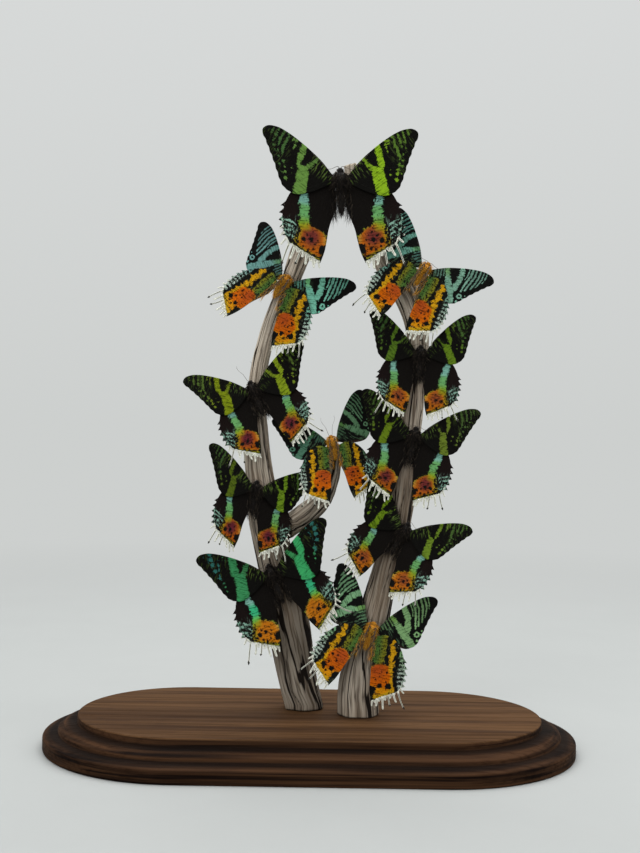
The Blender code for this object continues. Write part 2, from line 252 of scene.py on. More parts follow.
UNDER_DARK_SPOTS = (
    (0.20, 0.68, 0.038), (0.335, 0.665, 0.045), (0.20, 0.47, 0.015), (0.285, 0.48, 0.022),
    (0.19, 0.55, 0.014), (0.25, 0.545, 0.012), (0.285, 0.60, 0.018), (0.13, 0.60, 0.013),
    (0.235, 0.035, 0.028), (0.222, 0.115, 0.020), (0.236, 0.195, 0.027), (0.226, 0.285, 0.033),
    (0.268, 0.352, 0.020), (0.375, 0.035, 0.026), (0.362, 0.120, 0.026), (0.385, 0.190, 0.022),
    (0.368, 0.265, 0.028), (0.398, 0.335, 0.026), (0.384, 0.405, 0.022), (0.408, 0.475, 0.031),
    (0.400, 0.555, 0.022), (0.428, 0.620, 0.030), (0.455, 0.690, 0.020), (0.410, 0.270, 0.018),
    (0.415, 0.400, 0.018), (0.425, 0.545, 0.018), (0.405, 0.125, 0.018),
    (0.155, 0.52, 0.009), (0.255, 0.735, 0.014), (0.305, 0.72, 0.013), (0.22, 0.80, 0.012),
    (0.30, 0.81, 0.011), (0.37, 0.76, 0.012), (0.29, 0.33, 0.012), (0.345, 0.30, 0.014),
    (0.33, 0.12, 0.012), (0.275, 0.22, 0.010),
)

# Fingers of the hindwing's margin: (out, rear) of the root, direction, length, half width, and
# whether it is a long tail with a dark tip.
FINGERS = (
    ((0.59, 0.53), (1.0, 0.55), 0.050, 0.0095, False),
    ((0.57, 0.60), (0.90, 0.70), 0.070, 0.0110, False),
    ((0.54, 0.66), (0.70, 0.85), 0.10, 0.0120, False),
    ((0.50, 0.72), (0.48, 1.0), 0.29, 0.010, True),
    ((0.435, 0.75), (0.24, 1.0), 0.165, 0.0150, False),
    ((0.400, 0.77), (0.22, 1.0), 0.060, 0.0170, False),
    ((0.365, 0.79), (0.20, 1.0), 0.20, 0.0105, True),
    ((0.328, 0.81), (0.12, 1.0), 0.065, 0.0170, False),
    ((0.290, 0.83), (0.06, 1.0), 0.165, 0.0155, False),
    ((0.252, 0.85), (0.03, 1.0), 0.060, 0.0170, False),
    ((0.215, 0.87), (0.00, 1.0), 0.145, 0.0155, False),
    ((0.182, 0.885), (-0.04, 1.0), 0.050, 0.0150, False),
    ((0.150, 0.90), (-0.08, 1.0), 0.080, 0.0120, False),
)
FINGER_STEPS = 10
FRINGE_STEPS = 400

# Body: (place along the body, radius), in fractions of the forewing's length.
BODY_PROFILE = (
    (0.232, 0.000), (0.222, 0.019), (0.195, 0.033), (0.165, 0.034), (0.145, 0.029), (0.115, 0.048),
    (0.060, 0.059), (0.000, 0.060), (-0.060, 0.054), (-0.110, 0.044), (-0.160, 0.047), (-0.240, 0.047),
    (-0.320, 0.041), (-0.390, 0.032), (-0.440, 0.020), (-0.475, 0.000),
)

# How much of the body's front and rear shows on moths seen from the back and from the belly.
BODY_REACH = {"back": (0.72, 0.86), "belly": (0.55, 0.56)}

# The board's routed edge: (inset, height) of each corner in millimetres, from the top down.
BOARD_CORNERS = (
    (19.0, 18.6), (18.9, 14.4), (13.6, 13.9), (8.6, 11.6), (8.3, 9.3), (4.6, 9.0), (0.0, 7.6), (0.0, 0.0),
)

# Heights of the painted shadow lines under the board's lips, in millimetres.
BOARD_LIP_SHADOWS = (14.3, 9.2)

# How pale the wood is at each height in millimetres: partly the wood's own tone, partly painted shade,
# darkest low on the trunks under the moths.
WOOD_TONE_AND_SHADE = {
    "driftwood_left": (
        (18, 0.52), (50, 0.39), (95, 0.42), (120, 0.66), (160, 0.76), (200, 0.90), (270, 0.95),
    ),
    "driftwood_right": (
        (18, 0.68), (55, 0.66), (80, 0.54), (110, 0.36), (150, 0.46), (185, 0.80), (230, 0.90), (290, 1.0),
    ),
    "driftwood_branch": ((18, 0.50), (120, 0.52), (300, 0.80)),
}


# ---------------------------------------------------------------- shapes

def mesh_data(name, mesh):
    """Mesh data from a bmesh, which is then freed."""
    data = bpy.data.meshes.new(name)
    mesh.to_mesh(data)
    mesh.free()
    return data


def linked(name, data):
    """A new object in the scene."""
    made = bpy.data.objects.new(name, data)
    bpy.context.scene.collection.objects.link(made)
    return made


def new_object(name, mesh, *finishes):
    """An object from a bmesh, at the origin, riding on the part's one body."""
    return place_mesh(name, mesh_data(name, mesh), *finishes)


def place_mesh(name, data, *finishes):
    """An object from mesh data, at the origin, riding on the part's one body."""
    data.shade_smooth()
    for finish in finishes:
        data.materials.append(finish)
    made = linked(name, data)
    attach(made, "root")
    return made


def points_of(data):
    """The mesh's points as an array."""
    flat = np.empty(len(data.vertices) * 3, np.float32)
    data.vertices.foreach_get("co", flat)
    return flat.reshape(-1, 3).astype(float)


def set_points(data, points):
    """Moves every point of the mesh."""
    data.vertices.foreach_set("co", np.asarray(points, np.float32).ravel())
    data.update()


def add_values(data, name, values):
    """A named value on each point of the mesh: a number, a vector or a colour."""
    kind = VALUE_KINDS.get(name.split("_")[-1], "FLOAT")
    field, width = VALUE_FIELDS[kind]
    values = np.broadcast_to(np.asarray(values, np.float32), (len(data.vertices), *width))
    if kind == "FLOAT_COLOR":
        values = np.column_stack([values, np.ones(len(values))])
    data.attributes.new(name, kind, "POINT").data.foreach_set(field, values.astype(np.float32).ravel())


def main_axes(points):
    """The middle of some points, and the directions in which they spread most to least."""
    middle = points.mean(0)
    _, _, axes = np.linalg.svd(points - middle, full_matrices=False)
    return middle, axes


def ring_tube(mesh, points, radii, sides=6):
    """A closed tube along points, added to the bmesh as bridged rings."""
    rings = []
    ahead = None
    for number, (point, radius) in enumerate(zip(points, radii)):
        before = points[max(number - 1, 0)]
        after = points[min(number + 1, len(points) - 1)]
        along = (after - before).normalized()
        turn = along.to_track_quat("Z", "Y") if ahead is None else ahead.rotation_difference(along) @ turn
        ahead = along
        spot = Matrix.Translation(point) @ turn.to_matrix().to_4x4()
        made = bmesh.ops.create_circle(mesh, segments=sides, radius=radius, matrix=spot)["verts"]
        edges = {edge for corner in made for edge in corner.link_edges}
        rings.append(list(edges))
    skin = []
    for first, second in zip(rings, rings[1:]):
        skin += bmesh.ops.bridge_loops(mesh, edges=first + second)["faces"]
    caps = bmesh.ops.holes_fill(mesh, edges=rings[0] + rings[-1])["faces"]
    bmesh.ops.recalc_face_normals(mesh, faces=skin + caps)


def spline(points, count):
    """Evenly spaced places on a smooth line through points, as an array."""
    points = np.array(points, float)
    ends = np.vstack([2 * points[0] - points[1], points, 2 * points[-1] - points[-2]])
    dense = []
    for before, start, stop, after in zip(ends, ends[1:], ends[2:], ends[3:]):
        for t in np.linspace(0, 1, 24, endpoint=False):
            dense.append(0.5 * (
                2 * start + (stop - before) * t
                + (2 * before - 5 * start + 4 * stop - after) * t ** 2
                + (3 * start - before - 3 * stop + after) * t ** 3
            ))
    dense = np.array(dense + [points[-1]])
    run = np.concatenate([[0], np.cumsum(np.linalg.norm(np.diff(dense, axis=0), axis=1))])
    at = np.linspace(0, run[-1], count)
    return np.column_stack([np.interp(at, run, column) for column in dense.T])


def stroke_depth(x, y, strokes):
    """How far inside the nearest tapering stroke each place lies."""
    best = np.full(x.shape, -1.0)
    for line in strokes:
        for (ax, ay, ar), (bx, by, br) in zip(line, line[1:]):
            dx, dy = bx - ax, by - ay
            t = np.clip(((x - ax) * dx + (y - ay) * dy) / (dx * dx + dy * dy), 0, 1)
            best = np.maximum(best, ar + (br - ar) * t - np.hypot(x - ax - t * dx, y - ay - t * dy))
    return best


def spot_depth(x, y, spots):
    """How far inside the nearest round spot each place lies."""
    best = np.full(x.shape, -1.0)
    for sx, sy, radius in spots:
        best = np.maximum(best, radius - np.hypot(x - sx, y - sy))
    return best


def patch_depth(x, y, corners):
    """How far inside a closed outline each place lies."""
    inside = np.zeros(x.shape, bool)
    near = np.full(x.shape, 1.0)
    for (ax, ay), (bx, by) in zip(corners, corners[1:] + corners[:1]):
        crosses = (ay > y) != (by > y)
        slope = np.where(crosses, (bx - ax) * (y - ay) / ((by - ay) or 1e-9) + ax, 0)
        inside ^= crosses & (x < slope)
        dx, dy = bx - ax, by - ay
        t = np.clip(((x - ax) * dx + (y - ay) * dy) / (dx * dx + dy * dy), 0, 1)
        near = np.minimum(near, np.hypot(x - ax - t * dx, y - ay - t * dy))
    return np.where(inside, near, -near)


def fade(value, low, high):
    """0 below low, 1 above high and smooth between."""
    t = np.clip((value - low) / (high - low), 0, 1)
    return t * t * (3 - 2 * t)


def blend(first, second, share):
    """Two colours mixed place by place."""
    share = np.asarray(share)[..., None]
    return np.asarray(first) * (1 - share) + np.asarray(second) * share


def layered(colour, *layers):
    """A colour with others laid over it in turn, each as (colour, share)."""
    for over, share in layers:
        colour = blend(colour, over, share)
    return colour


# ---------------------------------------------------------------- finishes

class Finish:
    """A material from nodes: each method adds a node and gives its output."""

    def __init__(self, name):
        self.material = bpy.data.materials.new(name)
        self.material.use_nodes = True
        self.tree = self.material.node_tree

    def set(self, **values):
        """Values and links for the shader's own sockets; gives the material."""
        shader = self.tree.nodes["Principled BSDF"]
        for name, value in values.items():
            self.feed(shader.inputs[name.replace("_", " ")], value)
        return self.material

    def feed(self, socket, value):
        """Links an output to a socket, or sets the socket's value."""
        if isinstance(value, bpy.types.NodeSocket):
            self.tree.links.new(value, socket)
        elif socket.type == "RGBA":
            socket.default_value = (*value, 1.0)
        else:
            socket.default_value = value

    def node(self, kind, feeds, output=0, **options):
        """A node with its options and inputs set, and one of its outputs."""
        made = self.tree.nodes.new(kind)
        for name, value in options.items():
            setattr(made, name, value)
        for name, value in feeds.items():
            self.feed(made.inputs[name], value)
        return made.outputs[output]

    def attribute(self, name, output="Fac"):
        """A value stored on the mesh."""
        return self.node("ShaderNodeAttribute", {}, output, attribute_name=name)

    def object_place(self):
        """The place on the object, in metres."""
        return self.node("ShaderNodeTexCoord", {}, "Object")

    def math(self, operation, first, second=0.0, clamp=False):
        """One sum."""
        return self.node("ShaderNodeMath", {0: first, 1: second}, operation=operation, use_clamp=clamp)

    def off_centre(self, value, centre):
        """How far a value is from a centre."""
        return self.math("ABSOLUTE", self.math("SUBTRACT", value, centre))

    def stretch(self, vector, scale, turn=0.0):
        """The place scaled along each axis and turned about Z."""
        feeds = {"Vector": vector, "Scale": scale, "Rotation": (0.0, 0.0, turn)}
        return self.node("ShaderNodeMapping", feeds)

    def noise(self, vector, scale, detail=3.0, rough=0.55, distort=0.0):
        """Soft noise from 0 to 1."""
        feeds = {
            "Vector": vector, "Scale": scale, "Detail": detail, "Roughness": rough, "Distortion": distort,
        }
        return self.node("ShaderNodeTexNoise", feeds, "Fac")

    def grained(self, vector, scale, detail=3.0, rough=0.55, distort=0.0, turn=0.0):
        """Soft noise with its own scale along each axis."""
        return self.noise(self.stretch(vector, scale, turn), 1.0, detail, rough, distort)

    def cells(self, vector, scale, randomness=1.0):
        """Distance to the nearest cell's centre."""
        feeds = {"Vector": vector, "Scale": scale, "Randomness": randomness}
        return self.node("ShaderNodeTexVoronoi", feeds, "Distance")

    def spread(self, value, low, high, start=0.0, stop=1.0):
        """The value's range mapped to another, clamped."""
        feeds = {"Value": value, "From Min": low, "From Max": high, "To Min": start, "To Max": stop}
        return self.node("ShaderNodeMapRange", feeds)

    def mix(self, share, first, second, how="MIX"):
        """Two colours mixed."""
        feeds = {"Factor": share, 6: first, 7: second}
        return self.node("ShaderNodeMix", feeds, 2, data_type="RGBA", blend_type=how)

    def over(self, colour, shade, value, low, high, most=1.0, how="MIX"):
        """A shade laid over a colour as a value goes from low to high."""
        return self.mix(self.spread(value, low, high, 0.0, most), colour, shade, how)

    def bump(self, *layers):
        """A normal from stacked (height, strength, distance) layers."""
        normal = None
        for height, strength, distance in layers:
            feeds = {"Strength": strength, "Distance": distance, "Height": height}
            if normal is not None:
                feeds["Normal"] = normal
            normal = self.node("ShaderNodeBump", feeds)
        return normal


def scale_finish(name, side, fleck_turn, fleck_scale, fleck_colour, torn=1.0):
    """Wing scales: ground colour, fine flecks, bright marks, dark marks over them and a margin."""
    made = Finish(name)
    place = made.attribute("wing", "Vector")
    broad, middle, ragged = [made.noise(place, scale, 2.0) for scale in (24.0, 62.0, 150.0)]
    wobble = made.spread(broad, 0, 1, -0.030, 0.030)
    for waves, half in ((middle, 0.024), (ragged, 0.012)):
        wobble = made.math("ADD", wobble, made.spread(waves, 0, 1, -half, half))

    ground = made.attribute(f"{side}_ground", "Color")
    ground = made.over(ground, (0.40, 0.40, 0.40), ragged, 0.35, 0.7, 0.5, "MULTIPLY")
    streak = made.grained(place, fleck_scale, 2.0, 0.5, turn=fleck_turn)
    fleck = made.math("MULTIPLY", made.spread(streak, 0.55, 0.62), made.attribute(f"{side}_fleck"))
    colour = made.mix(fleck, ground, fleck_colour)

    tint = made.attribute(f"{side}_tint", "Color")
    bar = made.math("MULTIPLY", wobble, 0.95 if side == "up" else 0.50)
    bar = made.math("ADD", made.attribute(f"{side}_bar"), bar)
    colour = made.over(colour, tint, bar, -0.003, 0.003)

    edge = made.math("MULTIPLY", wobble, torn)
    mark = made.spread(made.math("ADD", made.attribute(f"{side}_mark"), edge), -0.004, 0.004)
    ribs = made.grained(place, (8.0, 66.0, 1.0), 3.0, 0.6, turn=0.25)
    tint = made.over(tint, (0.08, 0.10, 0.05), ribs, 0.53, 0.63, 0.80, "MULTIPLY")
    tint = made.over(tint, (1.35, 1.30, 1.15), ribs, 0.46, 0.30, 0.5, "MULTIPLY")
    tint = made.over(tint, (0.6, 0.62, 0.55), ragged, 0.40, 0.70, 0.45, "MULTIPLY")
    colour = made.mix(mark, colour, tint)

    dark = made.spread(made.math("ADD", made.attribute(f"{side}_dark"), wobble), -0.004, 0.004)
    speck = made.grained(place, (58.0, 34.0, 1.0), 1.0, 0.4, turn=0.5)
    speck = made.math("ADD", speck, made.math("MULTIPLY", made.attribute(f"{side}_speck"), 0.2))
    dark = made.math("MAXIMUM", dark, made.spread(speck, 0.66, 0.69))
    colour = made.mix(dark, colour, (0.0045, 0.0045, 0.004))

    vein = made.spread(made.attribute("vein"), 0.0, 0.007, 1.0, 0.0)
    colour = made.mix(made.math("MULTIPLY", vein, 0.35), colour, (0.008, 0.008, 0.006))
    rim = made.math("ADD", made.attribute("rim"), made.math("MULTIPLY", wobble, 0.4))
    colour = made.over(colour, (0.62, 0.63, 0.54), rim, -0.003, 0.003)

    rows = made.cells(made.stretch(place, (1.0, 1.4, 1.0)), 260.0, 0.75)
    bright = made.math("MULTIPLY", mark, made.math("SUBTRACT", 1.0, dark))
    return made.set(
        Base_Color=colour,
        Metallic=made.math("MULTIPLY", bright, 0.12),
        Roughness=made.spread(rows, 0.0, 0.7, 0.52, 0.74),
        Specular_IOR_Level=0.02,
        Normal=made.bump(
            (rows, 0.55, 0.00006), (ribs, 0.5, 0.00012), (vein, 0.7, 0.00018), (broad, 0.6, 0.0005),
        ),
    )


def finger_finish():
    """Fringe and tails: white edges round a dark core, and a dark tip on the long tails."""
    made = Finish("fringe scales")
    grain = made.noise(made.object_place(), 2600.0, 2.0)
    core = made.math("ADD", made.attribute("core"), made.spread(grain, 0, 1, -0.10, 0.10))
    colour = made.over((0.44, 0.45, 0.38), (0.68, 0.68, 0.59), grain, 0.3, 0.7)
    colour = made.over(colour, (0.16, 0.155, 0.13), core, 0.66, 0.88)
    colour = made.over(colour, (0.022, 0.021, 0.017), core, 1.0, 1.1)
    return made.set(
        Base_Color=colour, Roughness=made.spread(grain, 0.2, 0.8, 0.6, 0.85), Specular_IOR_Level=0.2,
        Normal=made.bump((grain, 0.4, 0.00008)),
    )


def fur_finish(name, root, tip, streak):
    """Hair and the skin under it: dark at the root, lighter at the tip, some strands apart."""
    made = Finish(name)
    grain = made.noise(made.object_place(), 900.0, 3.0)
    colour = made.over(root, tip, made.attribute("reach"), 0.1, 1.0)
    apart = made.spread(made.attribute("shade"), 0.78, 0.98)
    colour = made.mix(made.math("MULTIPLY", apart, 0.75), colour, streak)
    colour = made.over(colour, (0.45, 0.42, 0.40), grain, 0.3, 0.8, 0.6, "MULTIPLY")
    return made.set(
        Base_Color=colour, Roughness=made.spread(grain, 0.2, 0.8, 0.55, 0.8), Specular_IOR_Level=0.12,
        Normal=made.bump((grain, 0.5, 0.0002)),
    )


def horn_finish():
    """Legs, antennae and eyes."""
    made = Finish("moth horn")
    grain = made.noise(made.object_place(), 3200.0, 3.0)
    eye = made.attribute("eye")
    colour = made.over((0.020, 0.013, 0.008), (0.075, 0.045, 0.022), grain, 0.35, 0.7)
    return made.set(
        Base_Color=made.mix(eye, colour, (0.012, 0.008, 0.006)),
        Roughness=made.spread(eye, 0.0, 1.0, 0.55, 0.16),
        Normal=made.bump((grain, 0.4, 0.00005)),
    )


def glue_finish():
    """Set glue: amber and slightly milky."""
    made = Finish("set glue")
    cloud = made.noise(made.object_place(), 420.0, 3.0)
    return made.set(
        Base_Color=made.mix(cloud, (0.16, 0.10, 0.045), (0.34, 0.27, 0.17)),
        Roughness=made.spread(cloud, 0.3, 0.7, 0.22, 0.4), Subsurface_Weight=0.15, Subsurface_Scale=0.002,
        Normal=made.bump((cloud, 0.35, 0.0003)),
    )


def driftwood_finish():
    """Weathered wood: silver and warm streaks along the grain, dark in the cracks, with painted shade low on
    the trunks and a painted contact shadow at the foot.
    """
    made = Finish("weathered driftwood")
    grain = made.attribute("grain", "Vector")
    patch = made.grained(grain, (60.0, 60.0, 22.0))
    streak = made.grained(grain, (640.0, 640.0, 17.0), 5.0, 0.65)
    fine = made.grained(grain, (2000.0, 2000.0, 60.0), 3.0, 0.6)
    colour = made.over((0.40, 0.345, 0.28), (0.30, 0.225, 0.16), patch, 0.38, 0.66)
    colour = made.over(colour, (0.54, 0.475, 0.39), streak, 0.42, 0.62)
    colour = made.over(colour, (0.085, 0.064, 0.046), streak, 0.46, 0.33, 0.75)
    colour = made.over(colour, (0.62, 0.58, 0.52), fine, 0.50, 0.66, 0.6, "MULTIPLY")
    gap = made.off_centre(made.grained(grain, (150.0, 150.0, 7.0), 3.0, 0.5), 0.5)
    sparse = made.spread(made.grained(grain, (90.0, 90.0, 13.0), 1.0), 0.46, 0.49)
    long_crack = made.math("MULTIPLY", made.spread(gap, 0.014, 0.022, 1.0, 0.0), sparse)
    hair = made.off_centre(made.grained(grain, (560.0, 560.0, 15.0), 2.0, 0.5), 0.5)
    # Painted shade: darkens the wood by height, partly also the wood's own tone.
    shadow = made.math("SUBTRACT", 1.0, made.attribute("tone"), True)
    colour = made.mix(shadow, colour, (0.10, 0.09, 0.075), "MULTIPLY")
    colour = made.mix(made.spread(hair, 0.0, 0.045, 0.8, 0.0), colour, (0.05, 0.037, 0.026))
    crack = made.math("MAXIMUM", long_crack, made.spread(made.attribute("crack"), 0.12, 0.62))
    colour = made.mix(crack, colour, (0.010, 0.007, 0.005))
    # Painted contact shadow: the wood darkens over its last few millimetres above the board and turns near
    # black right at the board.
    foot = made.attribute("foot")
    colour = made.over(colour, (0.55, 0.48, 0.42), foot, 0.0, 1.0, 0.45, "MULTIPLY")
    colour = made.over(colour, (0.012, 0.009, 0.006), foot, 0.86, 1.0, 0.9)
    return made.set(
        Base_Color=colour, Roughness=made.spread(fine, 0.3, 0.7, 0.78, 0.94), Specular_IOR_Level=0.1,
        Normal=made.bump(
            (streak, 0.8, 0.0008), (fine, 0.6, 0.00022), (made.math("SUBTRACT", 1.0, crack), 0.9, 0.0009),
        ),
    )


def walnut_finish(height):
    """Oiled walnut with its grain along the board; its routed sides are painted far darker as shade, with
    painted shadow lines under the lips.
    """
    made = Finish("oiled walnut")
    place = made.object_place()
    drift = made.grained(place, (3.0, 14.0, 30.0), 2.0, 0.5, 0.6)
    figure = made.grained(place, (5.0, 120.0, 150.0), 4.0, 0.6, 0.35)
    line = made.grained(place, (9.0, 420.0, 520.0), 3.0, 0.6)
    pore = made.grained(place, (90.0, 2200.0, 2400.0), 2.0, 0.5)
    rings = made.grained(place, (7.0, 26.0, 560.0), 3.0, 0.55, 0.2)
    colour = made.over((0.046, 0.0225, 0.0098), (0.076, 0.038, 0.0160), drift, 0.32, 0.70)
    colour = made.over(colour, (0.104, 0.053, 0.0225), figure, 0.46, 0.62, 0.6)
    colour = made.over(colour, (0.022, 0.011, 0.0068), figure, 0.45, 0.33, 0.6)
    colour = made.over(colour, (0.46, 0.40, 0.36), line, 0.50, 0.66, 0.6, "MULTIPLY")
    colour = made.over(colour, (0.30, 0.26, 0.24), pore, 0.60, 0.70, 0.6, "MULTIPLY")
    rise = made.node("ShaderNodeSeparateXYZ", {0: place}, "Z")
    # The routed sides: growth rings in a far darker brown, painted shade of sides that face away from the
    # light above; below the top's edge they replace the top's colour.
    side = made.over((0.0055, 0.0026, 0.0016), (0.046, 0.0215, 0.0100), rings, 0.36, 0.62)
    side = made.over(side, (0.40, 0.36, 0.33), line, 0.50, 0.66, 0.6, "MULTIPLY")
    colour = made.over(colour, side, rise, height * 0.985, height * 0.95)
    # Painted shadow lines under the board's lips.
    for lip in BOARD_LIP_SHADOWS:
        shadow = made.spread(made.off_centre(rise, lip * MM), 0.0002, 0.0011, 0.85, 0.0)
        colour = made.mix(shadow, colour, (0.0040, 0.0022, 0.0015))
    return made.set(
        Base_Color=colour, Roughness=made.spread(line, 0.3, 0.7, 0.62, 0.78), Specular_IOR_Level=0.03,
        Normal=made.bump((line, 0.35, 0.00012), (pore, 0.5, 0.0001)),
    )


# ---------------------------------------------------------------- moth frames

class MothFrame:
    """Where one moth's body and wings lie, from its CAD nodes."""

    def __init__(self, number):
        self.name = f"moth_{number:02d}"
        ahead, behind = BODY_REACH[LOOKS[number][0]]
        self.body = [(along * (ahead if along > 0 else behind), radius) for along, radius in BODY_PROFILE]
        body = points_of(NODES[f"{self.name}_body"].data)
        self.middle, (along, _, _) = main_axes(body)
        plates = {
            (wing, label): self.plate(f"{self.name}_{wing}_{label}", tip)
            for wing, tip in WING_TIPS.items() for label, _ in SIDES
        }
        fore, hind = [[plates[wing, label]["root"] for label, _ in SIDES] for wing in WING_TIPS]
        if np.dot((fore[0] + fore[1]) / 2 - (hind[0] + hind[1]) / 2, along) < 0:
            along = -along
        across = fore[1] - fore[0]
        across -= along * np.dot(across, along)
        self.right = across / np.linalg.norm(across)
        self.forward = along
        self.up = np.cross(self.right, self.forward)
        self.length = plates["forewing", "left"]["length"]
        ends = (body - self.middle) @ along
        self.origin = self.middle + along * (ends.max() - BODY_PROFILE[0][0] * self.length)
        self.wings = {key: self.lay(plate, dict(SIDES)[key[1]]) for key, plate in plates.items()}

    def plate(self, node, tip):
        """A wing plate's root, the way to its tip, its normal and the forewing length it stands for."""
        points = points_of(NODES[node].data)
        centre, (_, _, normal) = main_axes(points)
        flat = points - np.outer((points - centre) @ normal, normal)
        gaps = np.linalg.norm(flat[:, None] - flat[None], axis=2)
        first, second = np.unravel_index(gaps.argmax(), gaps.shape)
        root, end = flat[first], flat[second]
        if np.linalg.norm(root - self.middle) > np.linalg.norm(end - self.middle):
            root, end = end, root
        span = np.linalg.norm(end - root)
        return {
            "root": root, "reach": (end - root) / span, "normal": normal,
            "length": span / math.hypot(*tip), "lean": math.atan2(tip[1], tip[0]),
        }

    def lay(self, plate, side):
        """The wing's outward, rearward and upward directions."""
        normal = Vector(plate["normal"])
        if normal.dot(Vector(self.up)) < 0:
            normal.negate()
        out = Matrix.Rotation(side * plate["lean"], 3, normal) @ Vector(plate["reach"])
        rear = Matrix.Rotation(-side * math.pi / 2, 3, normal) @ out
        return {
            "root": plate["root"], "out": np.array(out), "rear": np.array(rear),
            "normal": np.array(normal), "length": plate["length"],
        }

    def place(self, right, forward, up):
        """A point given in forewing lengths from the thorax, in the part's frame."""
        offset = self.right * right + self.forward * forward + self.up * up
        return Vector(self.origin + offset * self.length)


def laid(wing, x, y, height):
    """Wing coordinates and a height in metres, in the part's frame."""
    flat = np.outer(x, wing["out"]) + np.outer(y, wing["rear"])
    return wing["root"] + flat * wing["length"] + np.outer(height, wing["normal"])


def wing_sheet(front, rear, grid, tooth=None):
    """A flat wing as a grid drawn between its front and rear edges, in wing coordinates."""
    columns, rows = grid
    mesh = bmesh.new()
    bmesh.ops.create_grid(mesh, x_segments=columns, y_segments=rows, size=0.5)
    edge_front = spline(front, columns + 1)
    edge_rear = spline(rear, columns + 1)
    for corner in mesh.verts:
        column = round((corner.co.x + 0.5) * columns)
        share = corner.co.y + 0.5
        place = edge_front[column] * (1 - share) + edge_rear[column] * share
        if tooth is not None:
            place = place + tooth(place, column / columns, share)
        corner.co = (place[0], place[1], 0)
    bmesh.ops.remove_doubles(mesh, verts=mesh.verts, dist=SAME_WING_PLACE)
    bmesh.ops.dissolve_degenerate(mesh, edges=mesh.edges, dist=WING_SLIVER)
    return mesh


def fore_ripple(place, along, share):
    """Waves the forewing's outer margin a little."""
    wave = 0.5 - 0.5 * math.cos(place[0] * 2 * math.pi / 0.085)
    reach = max(0.0, share - 0.9) / 0.1
    reach = reach * min(1.0, max(0.0, (along - 0.35) * 5)) * min(1.0, (1 - along) * 12)
    return np.array([-0.004, -0.008]) * wave * reach


def hind_tooth(place, along, share):
    """Pulls the hindwing's outer margin into teeth and its lower margin into scallops."""
    shift = np.zeros(2)
    if share < TOOTH_SHARE and along > 0.35:
        rise = max(max(0.0, 1 - abs(place[1] - tooth) / TOOTH_HALF) for tooth in HINDWING_TEETH)
        shift += np.array([0.052, 0.026]) * rise ** 1.4 * (1 - share / TOOTH_SHARE)
    if along > 0.9:
        ripple = 0.5 + 0.5 * math.cos(share * math.pi * 14)
        shift += np.array([0.002, 0.012]) * (ripple - 0.6) * (along - 0.9) / 0.1
    return shift


def hind_margin(outer):
    """The hindwing's outer and lower margin as one line."""
    return np.vstack([spline(outer, 90)[30:], np.linspace(outer[-1], HINDWING_INNER[-1], 60)[1:]])


def finish_sheet(name, mesh, wing, seed, values, thickness, finishes):
    """Lays a flat wing in place, stores its values and gives it two faces."""
    data = mesh_data(name, mesh)
    x, y, _ = points_of(data).T
    for label, numbers in values(x, y, seed).items():
        add_values(data, label, numbers)
    phase = seed * 1.7
    height = np.sin(x * 5.2 + phase) * 0.10 + np.sin(y * 8.5 + phase * 2) * 0.10
    height += 0.04 * np.sin(x * 31 + y * 17 + phase)
    set_points(data, laid(wing, x, y, height * MM))
    made = place_mesh(name, data, *finishes)
    if Vector(wing["normal"]).dot(data.polygons[len(data.polygons) // 2].normal) < 0:
        data.flip_normals()
    shell = made.modifiers.new("two faces", "SOLIDIFY")
    shell.thickness = thickness
    shell.offset = 0.0
    shell.material_offset = 1
    shell.use_even_offset = False
    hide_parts(name.replace("_scales", ""))
    return made


def drifted(x, y, seed):
    """Wing coordinates bent a little, so that no two wings are marked alike."""
    turn = seed * 2.3
    dx = 0.007 * np.sin(y * 13 + turn) + 0.004 * np.sin(x * 21 + turn * 1.3)
    dy = 0.007 * np.sin(x * 11 + turn * 0.7) + 0.004 * np.sin(y * 23 + turn)
    return x + dx, y + dy


def line_gap(x, y, lines):
    """Distance to the nearest of some lines."""
    return -stroke_depth(x, y, [[(a, b, 0.0) for a, b in line] for line in lines])


